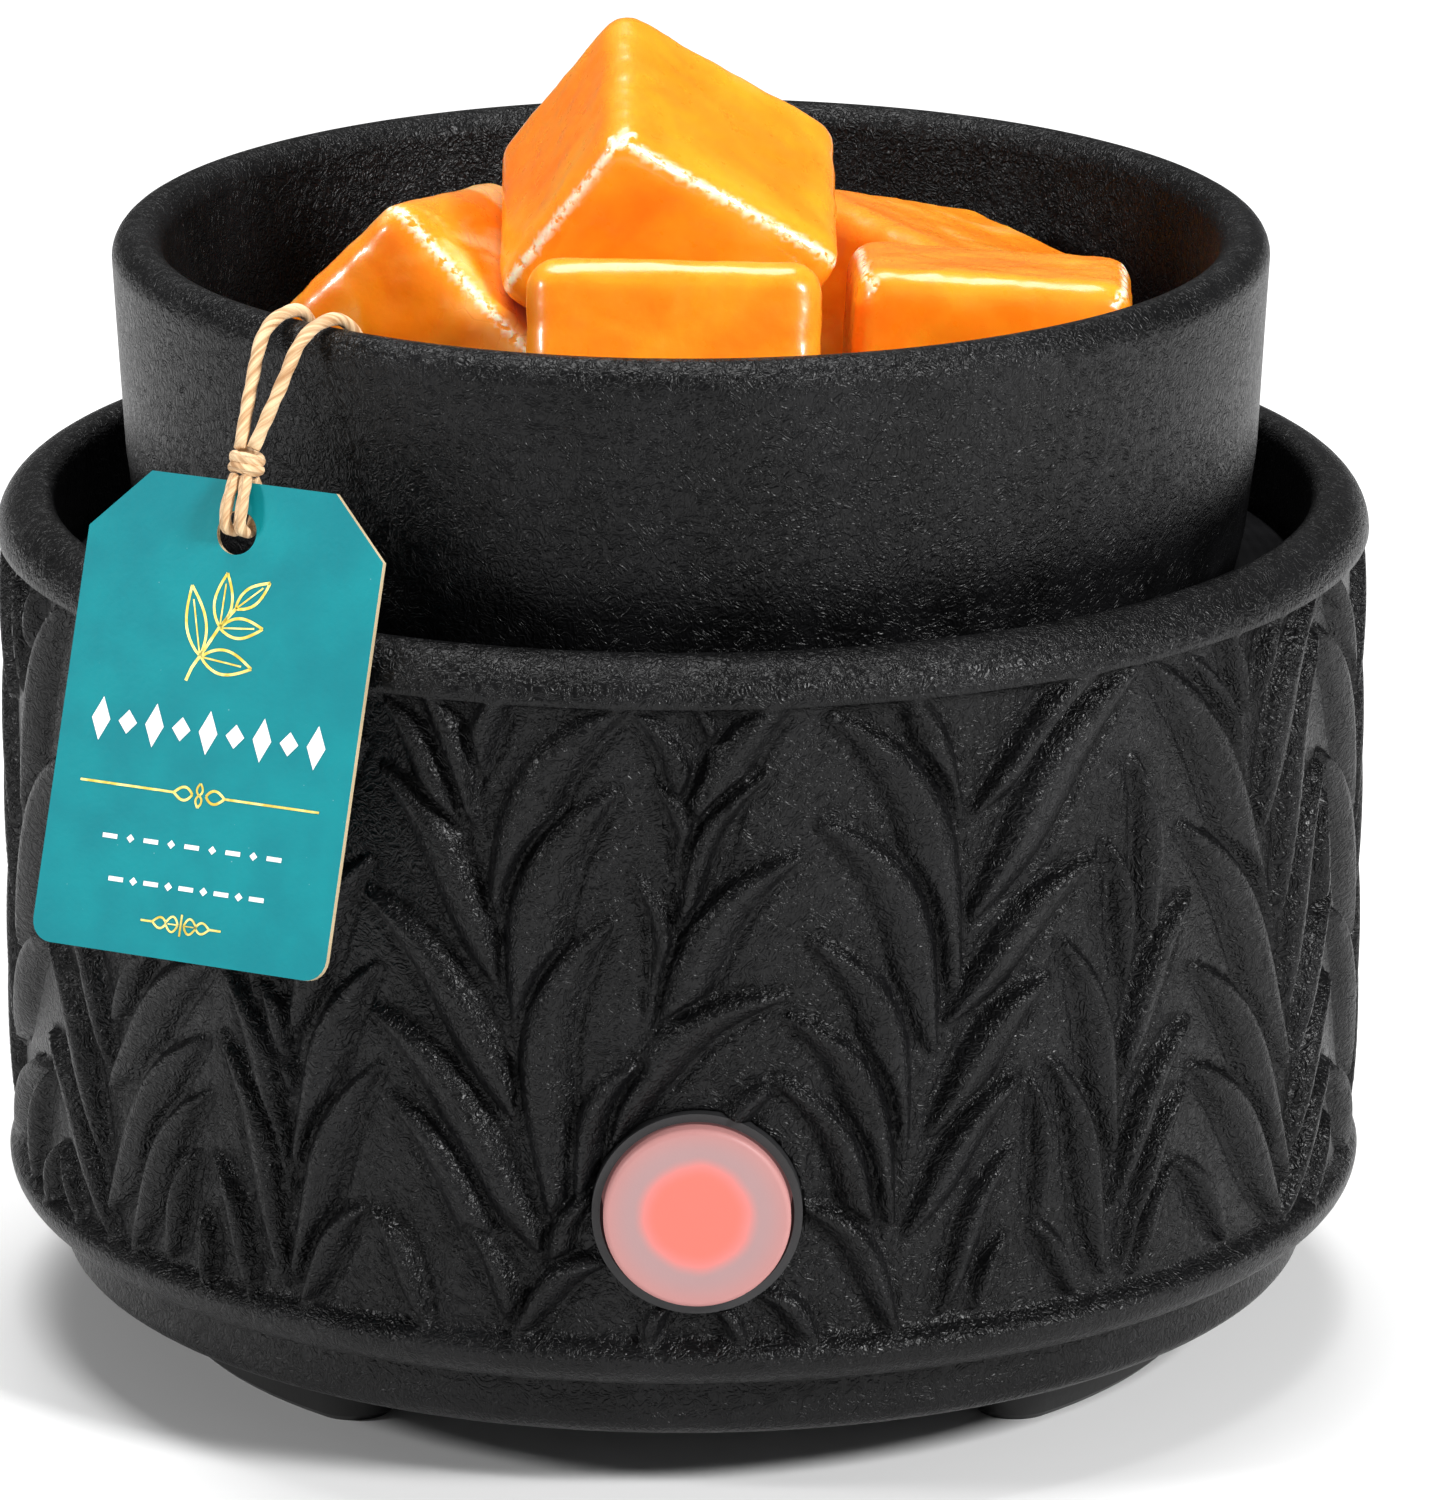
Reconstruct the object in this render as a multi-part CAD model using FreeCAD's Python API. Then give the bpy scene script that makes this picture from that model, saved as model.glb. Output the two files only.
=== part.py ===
import FreeCAD, Part
import math
import os

V = FreeCAD.Vector
X, Y, Z = V(1, 0, 0), V(0, 1, 0), V(0, 0, 1)

# Table-top wax warmer.  Millimetres.  Origin: the base's axis at the feet's soles, +Z up,
# -Y towards the front, where the button is.

# ---- base shell -------------------------------------------------------------------------
body_radius = 65.35          # outside of the pot body, at the crest of its leaf pattern
body_top = 81.7              # top of the rounded rim
body_bottom = 12.8           # underside of the body's overhang
body_wall = 4.7
rim_width = 5.6
shoulder_round = 4.1
overhang_round = 3.3
foot_ring_radius = 60.3
foot_ring_width = 6.0
foot_ring_bottom = 6.5
foot_ring_round = 2.1
floor_ledge_top = 14.6       # top of the ring inside that the bottom cover closes against
recess_floor = 70.4          # ledge that carries the hot plate's seal
ledge_thickness = 4.2
ledge_inner_radius = 49.0

# ---- hot plate, seal and heater -----------------------------------------------------------
plate_thickness = 1.8
plate_gap = 0.8              # between the plate's edge and the recess wall
seal_thickness = 0.5
seal_inset = 1.2
boss_radius = 3.6
boss_height = 6.0
heater_radius = 32.0
heater_thickness = 1.6
insulator_thickness = 2.4
cup_wall = 0.8
cup_clearance = 0.4
stud_radius = 1.5
stud_circle = 22.0
stud_length = 9.0
nut_across = 5.5
nut_height = 2.4
washer_play = 0.12

# ---- tie rods and bottom cover ------------------------------------------------------------
tie_radius = 2.6
tie_circle = 38.0
tie_angles = (180.0, 60.0, -60.0)      # from the front, positive towards +X
cover_thickness = 2.6
cover_gap = 0.35
screw_radius = 1.5
screw_head_radius = 2.9
screw_head_height = 1.5
screw_grip = 8.0
screw_play = 0.25

# ---- feet -----------------------------------------------------------------------------------
foot_outer_radius = 50.6
foot_width = 8.4
foot_span = 46.0
foot_angles = {"foot_front_left": -60.0, "foot_front_right": 60.0, "foot_rear": 180.0}
foot_edge = 0.6

# ---- power button, its sleeve and the board behind it -----------------------------------------
button_x = 1.2
button_z = 29.9
button_radius = 8.5
button_face = 66.0           # distance of the cap's face in front of the base's axis
button_travel = 1.2
button_gap = 0.3
cap_skin = 1.9
cap_wall = 1.4
cap_flange = 1.2
cap_flange_height = 1.3
sleeve_wall = 0.75
sleeve_front = 64.6
sleeve_back = 56.4
seat_depth = 61.3            # flat seat cut in the wall's inside for the sleeve's flange
seat_radius = 12.6
sleeve_flange_radius = 12.0
sleeve_flange = 1.4
post_radius = 1.4
post_drop = 5.6              # the plunger sits this far under the lamp
board_front = 49.4
board_thickness = 1.6
board_width = 32.0
board_height = 30.0
switch_size = 5.2
switch_height = 3.8
plunger_radius = 1.4
plunger_gap = 0.3
lamp_radius = 2.5
lamp_length = 8.0
lamp_collar = 0.2
bracket_gap = 4.0
bracket_thickness = 2.0
bracket_foot = 12.0
standoff_radius = 2.4
board_screw_radius = 1.1
board_screw_head = 2.1

# ---- mains inlet, terminals and wires -----------------------------------------------------------
gland_z = 27.0
gland_bore = 3.2
gland_barrel = 5.4
gland_flange_radius = 8.0
gland_flange = 1.3
gland_seat = 64.55
gland_nut = 3.2
terminal_size = V(16.0, 11.0, 10.0)
terminal_place = V(-14.0, 30.0, 0.0)
fuse_radius = 2.0
fuse_length = 11.0
fuse_place = V(0.0, 0.0, 0.0)
fuse_clip_width = 6.0
fuse_clip_wall = 0.6
wire_radius = 0.9
way_depth = 3.0
way_play = 0.35

# ---- dish ----------------------------------------------------------------------------------------
dish_x = 0.8                 # the dish is set down a little off the base's axis
dish_base_radius = 52.2
dish_belly_radius = 53.8
dish_belly_height = 13.0
dish_mouth_radius = 54.8
dish_mouth_height = 31.3     # height of the rim's centre line over the dish's underside
dish_wall = 4.9
dish_floor = 4.5             # thickness of the dish's floor
dish_foot_round = 2.5
dish_inner_round = 9.0

# ---- wax blocks -------------------------------------------------------------------------------------
wax_wide = 27.4
wax_narrow = 25.8
wax_thick = 21.5
wax_round = 3.0
# centre and turns about Z, Y and X of each block, as they lie in the dish
wax_places = {
    "wax_top": (V(-1.1, -5.17, 108.75), (90.2, -17.1, -147.1)),
    "wax_front": (V(-1.0, -32.1, 96.03), (-0.2, 1.2, 70.1)),
    "wax_right": (V(28.15, -13.87, 92.57), (-0.7, 3.8, -97.6)),
    "wax_left": (V(-20.6, -3.88, 94.37), (67.3, 6.9, -138.3)),
    "wax_back": (V(24.0, 14.7, 91.8), (-52.4, 6.2, 164.5)),
}

# ---- twine and tag --------------------------------------------------------------------------------
twine_radius = 0.65
knot_radius = 1.5
knot_centre = V(-39.25, -48.5, 96.0)
tag_width = 30.0
tag_height = 43.5
tag_thickness = 0.6
tag_chamfer = 5.6
tag_corner = 2.0
tag_hole_radius = 2.0
tag_hole_drop = 4.6          # hole centre under the tag's top edge
tag_facing = -26.0           # turn of the tag's face about Z from the front
tag_lean = 19.0              # top leans in towards the dish
tag_hole = V(-40.0, -50.5, 89.9)

# ---- values that follow -----------------------------------------------------------------------------
rim_radius = rim_width / 2.0
recess_radius = body_radius - rim_width
cavity_radius = body_radius - body_wall
ring_inner = foot_ring_radius - foot_ring_width
seal_top = recess_floor + seal_thickness
plate_top = seal_top + plate_thickness
ledge_bottom = recess_floor - ledge_thickness
plate_radius = recess_radius - plate_gap
cover_top = foot_ring_bottom + cover_thickness
cover_radius = ring_inner - cover_gap
way_height = cover_top + 4.0
tie_top = seal_top - boss_height
heater_bottom = seal_top - heater_thickness
insulator_bottom = heater_bottom - insulator_thickness
cup_bottom = insulator_bottom - cup_wall
dish_bottom = plate_top
rim_centre_radius = dish_mouth_radius - dish_wall / 2.0
rim_centre_height = dish_bottom + dish_mouth_height
board_back = board_front - board_thickness
header_place = V(button_x + 2.0, 3.0 - board_back, button_z + 7.0)
bracket_front = board_back - bracket_gap


def cylinder(radius, height, base, axis=Z):
    return Part.makeCylinder(radius, height, base, axis)


def box(size, centre_base):
    """Box with its footprint centred on a point at its underside."""
    corner = V(centre_base.x - size.x / 2.0, centre_base.y - size.y / 2.0, centre_base.z)
    return Part.makeBox(size.x, size.y, size.z, corner)


def polar(radius, degrees, z=0.0):
    """Point at a radius and an angle from the front, positive towards +X."""
    angle = math.radians(degrees)
    return V(radius * math.sin(angle), -radius * math.cos(angle), z)


def revolved(edges):
    """Full turn about Z of a closed outline drawn in the X-Z plane."""
    face = Part.Face(Part.Wire(Part.__sortEdges__(edges)))
    return face.revolve(V(0, 0, 0), Z, 360)


def outline(points):
    """Outline in X-Z from (r, z) or (r, z, fillet) corners, with each fillet as an arc."""
    count = len(points)
    ends = []
    for i in range(count):
        here = V(points[i][0], 0, points[i][1])
        fillet = points[i][2] if len(points[i]) > 2 else 0.0
        before = V(points[i - 1][0], 0, points[i - 1][1]) - here
        after = V(points[(i + 1) % count][0], 0, points[(i + 1) % count][1]) - here
        before.normalize()
        after.normalize()
        if fillet == 0.0:
            ends.append((here, None, here))
            continue
        half = before.getAngle(after) / 2.0
        reach = fillet / math.tan(half)
        middle = before + after
        middle.normalize()
        centre = here + middle * (fillet / math.sin(half))
        ends.append((here + before * reach, centre - middle * fillet, here + after * reach))
    edges = []
    for i in range(count):
        start, bend, leave = ends[i]
        if bend is not None:
            edges.append(Part.Arc(start, bend, leave).toShape())
        following = ends[(i + 1) % count][0]
        if leave.distanceToPoint(following) > 1e-6:
            edges.append(Part.LineSegment(leave, following).toShape())
    return edges


def along_front(radius, front, back, x=button_x, z=button_z):
    """Cylinder on the button's axis between two distances in front of the base's axis."""
    return cylinder(radius, front - back, V(x, -front, z), Y)


# ---- base ----------------------------------------------------------------------------------------------

def base_shell():
    corners = [
        (ring_inner, foot_ring_bottom),
        (foot_ring_radius, foot_ring_bottom, foot_ring_round),
        (foot_ring_radius, body_bottom),
        (body_radius, body_bottom, overhang_round),
        (body_radius, body_top, shoulder_round),
        (recess_radius, body_top, rim_radius * 0.55),
        (recess_radius, recess_floor),
        (ledge_inner_radius, recess_floor),
        (ledge_inner_radius, ledge_bottom),
        (cavity_radius, ledge_bottom, 3.0),
        (cavity_radius, floor_ledge_top, 1.5),
        (ring_inner - 4.0, floor_ledge_top),
        (ring_inner - 4.0, cover_top),
        (ring_inner, cover_top),
    ]
    shell = revolved(outline(corners))
    shell = shell.cut(along_front(button_radius + button_gap + sleeve_wall, body_radius + 5, 40))
    shell = shell.cut(along_front(seat_radius, seat_depth, 40))
    gland_axis = V(0, 40, gland_z)
    shell = shell.cut(cylinder(gland_barrel + 0.15, body_radius, gland_axis, Y))
    seat = cylinder(gland_flange_radius + 0.5, 10, V(0, gland_seat, gland_z), Y)
    return shell.cut(seat)


def plate_seal():
    outer = plate_radius - seal_inset
    inner = ledge_inner_radius + seal_inset
    ring = cylinder(outer, seal_thickness, V(0, 0, recess_floor))
    return ring.cut(cylinder(inner, seal_thickness, V(0, 0, recess_floor)))


def hot_plate():
    plate = cylinder(plate_radius, plate_thickness, V(0, 0, seal_top))
    plate = plate.makeFillet(0.6, [plate.Edges[0]])
    for angle in tie_angles:
        boss = cylinder(boss_radius, boss_height, polar(tie_circle, angle, tie_top))
        thread = cylinder(screw_radius, boss_height - 0.8, polar(tie_circle, angle, tie_top))
        plate = plate.fuse(boss).cut(thread)
    for angle in stud_angles():
        foot = polar(stud_circle, angle, seal_top - stud_length)
        plate = plate.fuse(cylinder(stud_radius, stud_length, foot))
    return plate.removeSplitter()


def stud_angles():
    return (0.0, 120.0, -120.0)


def drilled_disc(radius, bottom, thickness):
    """Disc with a clearance hole round each of the plate's studs."""
    disc = cylinder(radius, thickness, V(0, 0, bottom))
    for angle in stud_angles():
        hole = cylinder(stud_radius + 0.3, thickness, polar(stud_circle, angle, bottom))
        disc = disc.cut(hole)
    return disc


def heater_disc():
    return drilled_disc(heater_radius, heater_bottom, heater_thickness)


def heater_insulator():
    return drilled_disc(heater_radius, insulator_bottom, insulator_thickness)


def heater_cup():
    """Shallow pressed cup that holds the heater and its insulator up to the plate."""
    inner = heater_radius + cup_clearance
    height = seal_top - 0.4 - cup_bottom
    cup = cylinder(inner + cup_wall, height, V(0, 0, cup_bottom))
    cup = cup.cut(cylinder(inner, height, V(0, 0, insulator_bottom)))
    for angle in stud_angles():
        hole = cylinder(stud_radius + 0.3, cup_wall, polar(stud_circle, angle, cup_bottom))
        cup = cup.cut(hole)
    return cup


def hexagon(across, height, base, bore):
    radius = across / math.sqrt(3.0)
    ring = [base + V(radius * math.cos(k * math.pi / 3), radius * math.sin(k * math.pi / 3), 0)
            for k in range(6)]
    prism = Part.Face(Part.makePolygon(ring + [ring[0]])).extrude(V(0, 0, height))
    return prism.cut(cylinder(bore, height, base))


def heater_nuts():
    nuts = []
    for angle in stud_angles():
        base = polar(stud_circle, angle, cup_bottom - nut_height)
        nuts.append(hexagon(nut_across, nut_height, base, stud_radius + washer_play))
    return Part.makeCompound(nuts)


def tie_rods():
    """Three hollow rods that draw the bottom cover and the hot plate together."""
    rods = []
    for angle in tie_angles:
        base = polar(tie_circle, angle, cover_top)
        rod = cylinder(tie_radius, tie_top - cover_top, base)
        rods.append(rod.cut(cylinder(screw_radius, screw_grip, base)))
    return Part.makeCompound(rods)


def tie_studs():
    """Threaded stud in the top of each rod, screwed into the plate's boss."""
    studs = []
    for angle in tie_angles:
        base = polar(tie_circle, angle, tie_top)
        studs.append(cylinder(screw_radius, boss_height - 1.2, base))
    return Part.makeCompound(studs)


def bottom_cover():
    cover = cylinder(cover_radius, cover_thickness, V(0, 0, foot_ring_bottom))
    for angle in tie_angles:
        base = polar(tie_circle, angle, foot_ring_bottom)
        cover = cover.cut(cylinder(screw_radius + screw_play, cover_thickness, base))
        cover = cover.cut(cylinder(screw_head_radius + screw_play, screw_head_height, base))
    for spot in bracket_screw_spots():
        cover = cover.cut(cylinder(board_screw_radius, cover_thickness, spot))
    for spot in terminal_screw_spots():
        cover = cover.cut(cylinder(board_screw_radius, cover_thickness, spot))
    return cover


def cover_screws():
    screws = []
    for angle in tie_angles:
        base = polar(tie_circle, angle, foot_ring_bottom)
        shank = cylinder(screw_radius, cover_thickness + screw_grip - 1.0, base)
        head = cylinder(screw_head_radius, screw_head_height - 0.2, base)
        cross = box(V(3.2, 0.7, 0.8), base).fuse(box(V(0.7, 3.2, 0.8), base))
        screws.append(head.fuse(shank).cut(cross))
    return Part.makeCompound(screws)


def foot(middle_angle):
    """Arc-shaped pad with round ends under the bottom cover."""
    inner = foot_outer_radius - foot_width
    centre_line = (foot_outer_radius + inner) / 2.0
    end_trim = math.degrees(foot_width / 2.0 / centre_line)
    pad = cylinder(foot_outer_radius, foot_ring_bottom, V(0, 0, 0))
    pad = pad.cut(cylinder(inner, foot_ring_bottom, V(0, 0, 0)))
    half = foot_span / 2.0 - end_trim
    left = polar(2 * body_radius, middle_angle - half)
    right = polar(2 * body_radius, middle_angle + half)
    wedge = Part.Face(Part.makePolygon([V(0, 0, 0), left, right, V(0, 0, 0)]))
    pad = pad.common(wedge.extrude(V(0, 0, foot_ring_bottom)))
    for side in (-half, half):
        end = polar(centre_line, middle_angle + side)
        pad = pad.fuse(cylinder(foot_width / 2.0, foot_ring_bottom, end))
    pad = pad.removeSplitter()
    sole = [e for e in pad.Edges if e.BoundBox.ZMax < 1e-6]
    return pad.makeChamfer(foot_edge, sole)


# ---- button and board ---------------------------------------------------------------------------------------

def button_sleeve():
    bore = button_radius + button_gap
    sleeve = along_front(bore + sleeve_wall, sleeve_front, sleeve_back)
    sleeve = sleeve.fuse(along_front(sleeve_flange_radius, seat_depth, seat_depth - sleeve_flange))
    return sleeve.cut(along_front(bore, sleeve_front, sleeve_back)).removeSplitter()


def button_cap():
    """Frosted cup with a stop flange behind the sleeve and a post for the switch."""
    back = sleeve_back - button_gap - cap_flange_height
    cap = along_front(button_radius, button_face, back)
    cap = cap.makeFillet(0.5, [front_edge(cap)])
    flange = along_front(button_radius + cap_flange, back + cap_flange_height, back)
    cap = cap.fuse(flange)
    cap = cap.cut(along_front(button_radius - cap_wall, button_face - cap_skin, back))
    post_end = board_front + switch_height + plunger_reach()
    post = along_front(post_radius, button_face - cap_skin, post_end, z=button_z - post_drop)
    return cap.fuse(post).removeSplitter()


def front_edge(solid):
    return min(solid.Edges, key=lambda edge: edge.BoundBox.YMax)


def plunger_reach():
    return button_travel + 0.6


def switch_plunger():
    front = board_front + switch_height + plunger_reach()
    back = board_front + switch_height - button_travel - 0.4
    return along_front(plunger_radius, front, back + button_travel, z=button_z - post_drop)


def tact_switch():
    z = button_z - post_drop
    centre = V(button_x, -board_front - switch_height / 2.0, z - switch_size / 2.0)
    body = box(V(switch_size, switch_height, switch_size), centre)
    back = board_front + switch_height - button_travel - 1.2
    return body.cut(along_front(plunger_radius + plunger_gap, body_radius, back, z=z))


def indicator_lamp():
    lamp = along_front(lamp_radius, board_front + lamp_length - lamp_radius, board_front)
    tip = V(button_x, -(board_front + lamp_length - lamp_radius), button_z)
    lamp = lamp.fuse(Part.makeSphere(lamp_radius, tip))
    collar = along_front(lamp_radius + lamp_collar, board_front + 1.0, board_front)
    return lamp.fuse(collar).removeSplitter()


def board_screw_spots():
    reach_x = board_width / 2.0 - 3.0
    reach_z = board_height / 2.0 - 3.0
    return [(button_x - reach_x, button_z + reach_z), (button_x + reach_x, button_z - reach_z)]


def circuit_board():
    low = V(button_x, -board_front + board_thickness / 2.0, button_z - board_height / 2.0)
    board = box(V(board_width, board_thickness, board_height), low)
    for x, z in board_screw_spots():
        board = board.cut(along_front(board_screw_radius + 0.2, board_front, board_back, x, z))
    return board


def board_parts():
    """Dropper resistor, rectifier and the wires' header, on the board's back."""
    y = -board_back + 1.5
    header = box(V(8.0, 3.0, 5.0), V(header_place.x, y, header_place.z - 2.5))
    rectifier = box(V(7.0, 3.0, 5.0), V(button_x - 7.0, y, button_z - 1.0))
    capacitor = cylinder(1.5, 9.0, V(button_x - 4.0, y, button_z - 9.0), X)
    return Part.makeCompound([header, rectifier, capacitor])


def board_bracket():
    """Bent bracket that stands on the bottom cover and carries the board."""
    top = button_z + board_height / 2.0
    upright = box(V(board_width, bracket_thickness, top - cover_top),
                  V(button_x, -bracket_front + bracket_thickness / 2.0, cover_top))
    window = box(V(22.0, bracket_thickness, 20.0),
                 V(button_x, -bracket_front + bracket_thickness / 2.0, cover_top + 12.0))
    upright = upright.cut(window)
    sole = box(V(board_width, bracket_foot, bracket_thickness),
               V(button_x, -bracket_front + bracket_foot / 2.0, cover_top))
    bracket = upright.fuse(sole)
    for spot in bracket_screw_spots():
        hole = cylinder(board_screw_radius + 0.2, bracket_thickness, V(spot.x, spot.y, cover_top))
        bracket = bracket.cut(hole)
    for x, z in board_screw_spots():
        post = along_front(standoff_radius, board_back, bracket_front, x, z)
        bracket = bracket.fuse(post)
        bracket = bracket.cut(along_front(board_screw_radius, board_back, bracket_front - 1.0, x, z))
    return bracket.removeSplitter()


def bracket_screw_spots():
    reach = board_width / 2.0 - 4.5
    y = -bracket_front + (bracket_foot + bracket_thickness) / 2.0
    return [V(button_x - reach, y, foot_ring_bottom), V(button_x + reach, y, foot_ring_bottom)]


def pan_screw(base, direction, shank):
    """Small pan-head screw whose head sits on base and whose shank goes the other way."""
    head = cylinder(board_screw_head, 1.3, base, direction)
    stem = cylinder(board_screw_radius - 0.02, shank, base, direction * -1)
    slot = cylinder(board_screw_head * 0.45, 0.7, base + direction * 0.7, direction)
    return head.fuse(stem).cut(slot)


def board_screws():
    screws = [pan_screw(V(x, -board_front, z), V(0, -1, 0), board_thickness + bracket_gap)
              for x, z in board_screw_spots()]
    top = cover_top + bracket_thickness
    shank = bracket_thickness + cover_thickness - 0.4
    screws += [pan_screw(V(s.x, s.y, top), Z, shank) for s in bracket_screw_spots()]
    return Part.makeCompound(screws)


# ---- inlet, terminals, fuse and wires --------------------------------------------------------------------------

def cord_gland():
    """Bush for the mains lead: flange outside, barrel through the wall."""
    front = V(0, gland_seat, gland_z)
    gland = cylinder(gland_flange_radius, gland_flange, front, Y)
    inner_end = cavity_radius - gland_nut - 2.0
    gland = gland.fuse(cylinder(gland_barrel, gland_seat - inner_end, V(0, inner_end, gland_z), Y))
    bore = cylinder(gland_bore, 40, V(0, 40, gland_z), Y)
    return gland.cut(bore).removeSplitter()


def gland_lock_nut():
    seat = math.sqrt(cavity_radius ** 2 - gland_flange_radius ** 2) - 0.1
    base = V(0, seat - gland_nut, gland_z)
    ring = cylinder(gland_flange_radius, gland_nut, base, Y)
    return ring.cut(cylinder(gland_barrel + 0.05, gland_nut, base, Y))


def terminal_screw_spots():
    reach = terminal_size.x / 2.0 + 3.0
    return [V(terminal_place.x - reach, terminal_place.y, foot_ring_bottom),
            V(terminal_place.x + reach, terminal_place.y, foot_ring_bottom)]


def terminal_block():
    base = terminal_place + V(0, 0, cover_top)
    block = box(terminal_size, base)
    lug_size = V(terminal_size.x + 11.0, 6.0, 2.4)
    block = block.fuse(box(lug_size, base))
    for spot in terminal_screw_spots():
        hole = cylinder(board_screw_radius + 0.2, 2.4, V(spot.x, spot.y, cover_top))
        block = block.cut(hole)
    for x in terminal_ways():
        well = V(x, terminal_place.y, cover_top + terminal_size.z - 5.0)
        block = block.cut(cylinder(1.9, 5.0, well))
        for side in (-1, 1):
            mouth = V(x, terminal_place.y + side * terminal_size.y / 2.0, way_height)
            block = block.cut(cylinder(wire_radius + way_play, way_depth, mouth, Y * -side))
    return block


def terminal_ways():
    return (terminal_place.x - 4.2, terminal_place.x + 4.2)


def terminal_screws():
    screws = []
    for x in terminal_ways():
        base = V(x, terminal_place.y, cover_top + terminal_size.z - 5.0)
        screw = cylinder(1.6, 3.2, base)
        slot = box(V(3.4, 0.6, 0.8), base + V(0, 0, 2.4))
        screws.append(screw.cut(slot))
    for spot in terminal_screw_spots():
        base = V(spot.x, spot.y, cover_top + 2.4)
        screws.append(pan_screw(base, Z, 2.4 + cover_thickness - 0.4))
    return Part.makeCompound(screws)


def fuse_height():
    return cup_bottom - fuse_radius - 0.1


def thermal_fuse():
    start = fuse_place + V(-fuse_length / 2.0, 0, fuse_height())
    body = cylinder(fuse_radius, fuse_length, start, X)
    return body.makeFillet(0.4, body.Edges[:1])


def fuse_clip():
    """Strap bent round the fuse and spot-welded to the heater's cup."""
    centre = fuse_place + V(-fuse_clip_width / 2.0, 0, fuse_height())
    outer = fuse_radius + 0.1 + fuse_clip_wall
    strap = cylinder(outer, fuse_clip_width, centre, X)
    roof = box(V(fuse_clip_width, 2 * outer, fuse_radius + 0.1),
               fuse_place + V(0, 0, fuse_height()))
    wings = box(V(fuse_clip_width, 2 * outer + 8.0, fuse_clip_wall),
                fuse_place + V(0, 0, cup_bottom - fuse_clip_wall))
    strap = strap.fuse(roof).fuse(wings)
    hollow = cylinder(fuse_radius + 0.1, fuse_clip_width, centre, X)
    slot = box(V(fuse_clip_width, 2 * fuse_radius + 0.2, fuse_radius + 0.1),
               fuse_place + V(0, 0, fuse_height()))
    above = box(V(40, 40, 10), fuse_place + V(0, 0, cup_bottom))
    return strap.cut(hollow).cut(slot).cut(above).removeSplitter()


def rounded_path(points):
    """Straight runs joined by tangent arcs; returns the edges and the arc radii."""
    edges, used = [], []
    last = points[0]
    for i in range(1, len(points) - 1):
        back = points[i - 1] - points[i]
        ahead = points[i + 1] - points[i]
        run = min(back.Length, ahead.Length)
        back.normalize()
        ahead.normalize()
        turn = math.pi - back.getAngle(ahead)
        reach = 0.45 * run
        radius = reach / math.tan(turn / 2.0)
        used.append(radius)
        middle = back + ahead
        middle.normalize()
        start = points[i] + back * reach
        leave = points[i] + ahead * reach
        bend = points[i] + middle * (radius / math.cos(turn / 2.0) - radius)
        edges.append(Part.LineSegment(last, start).toShape())
        edges.append(Part.Arc(start, bend, leave).toShape())
        last = leave
    edges.append(Part.LineSegment(last, points[-1]).toShape())
    return edges, used


def tube(points, radius):
    """Round tube along a path of runs and arcs."""
    edges, used = rounded_path(points)
    path = Part.Wire(edges)
    start = points[0]
    along = points[1] - points[0]
    section = Part.Wire(Part.makeCircle(radius, start, along))
    solid = path.makePipeShell([section], True, True)
    length = path.Length
    volume = math.pi * radius ** 2 * length
    print("tube: radii", [round(r, 1) for r in used], "length", round(length, 1),
          "volume ratio", round(solid.Volume / volume, 4))
    return solid


def way_start(x):
    """Where a wire's end sits inside its way of the terminal block."""
    return V(x, terminal_place.y - terminal_size.y / 2.0 + way_depth - 1.0, way_height)


def wire_neutral():
    """From the terminal block up to the heater's outer tab."""
    start = way_start(terminal_ways()[0])
    return tube([start, start + V(0, -12.5, 0), V(-22.0, 3.0, 20.0), V(-23.5, -4.0, 35.0),
                 V(-25.0, -4.0, 51.0), V(-25.0, -4.0, cup_bottom)], wire_radius)


def wire_live():
    """From the terminal block to the board's header."""
    start = way_start(terminal_ways()[1])
    end = header_place + V(-2.0, 0, 0)
    return tube([start, start + V(0, -12.5, 0), V(-8.0, 2.0, 15.5), V(-4.0, -10.0, 22.5),
                 V(-0.5, -24.0, 31.0), end + V(0, 8.0, 0), end], wire_radius)


def wire_switched():
    """From the board's header up to the thermal fuse."""
    start = header_place + V(2.0, 0, 0)
    end = fuse_place + V(fuse_length / 2.0, 0, fuse_height())
    return tube([start, start + V(0, 8.0, 0), V(9.0, -26.0, 41.5), V(15.0, -16.0, 50.0),
                 V(18.0, -8.0, 59.0), end + V(9.0, 0, 0), end], wire_radius)


def wire_heater():
    """Short link from the fuse to the heater's inner tab."""
    start = fuse_place + V(-fuse_length / 2.0, 0, fuse_height())
    return tube([start, start + V(-9.5, 0, 0), V(-21.0, -6.0, 54.5), V(-17.0, -18.0, 53.5),
                 V(-17.0, -18.0, cup_bottom)], wire_radius)


# ---- dish and wax -----------------------------------------------------------------------------------------------------

def wax_dish():
    outer_turn = dish_mouth_radius
    inner_turn = dish_mouth_radius - dish_wall
    foot_z = dish_bottom
    belly_z = dish_bottom + dish_belly_height
    mouth_z = rim_centre_height
    floor_z = dish_bottom + dish_floor
    base_inner = dish_base_radius - dish_wall
    belly_inner = dish_belly_radius - dish_wall
    corners = [
        (0, foot_z),
        (dish_base_radius, foot_z, dish_foot_round),
        (dish_belly_radius, belly_z, 60.0),
        (outer_turn, mouth_z),
        (inner_turn, mouth_z),
        (belly_inner, belly_z, 60.0),
        (base_inner, floor_z, dish_inner_round),
        (0, floor_z),
    ]
    body = revolved(outline(corners))
    rim = Part.makeTorus(rim_centre_radius, dish_wall / 2.0, V(0, 0, mouth_z), Z)
    dish = body.fuse(rim).removeSplitter()
    dish.translate(V(dish_x, 0, 0))
    return dish


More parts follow.
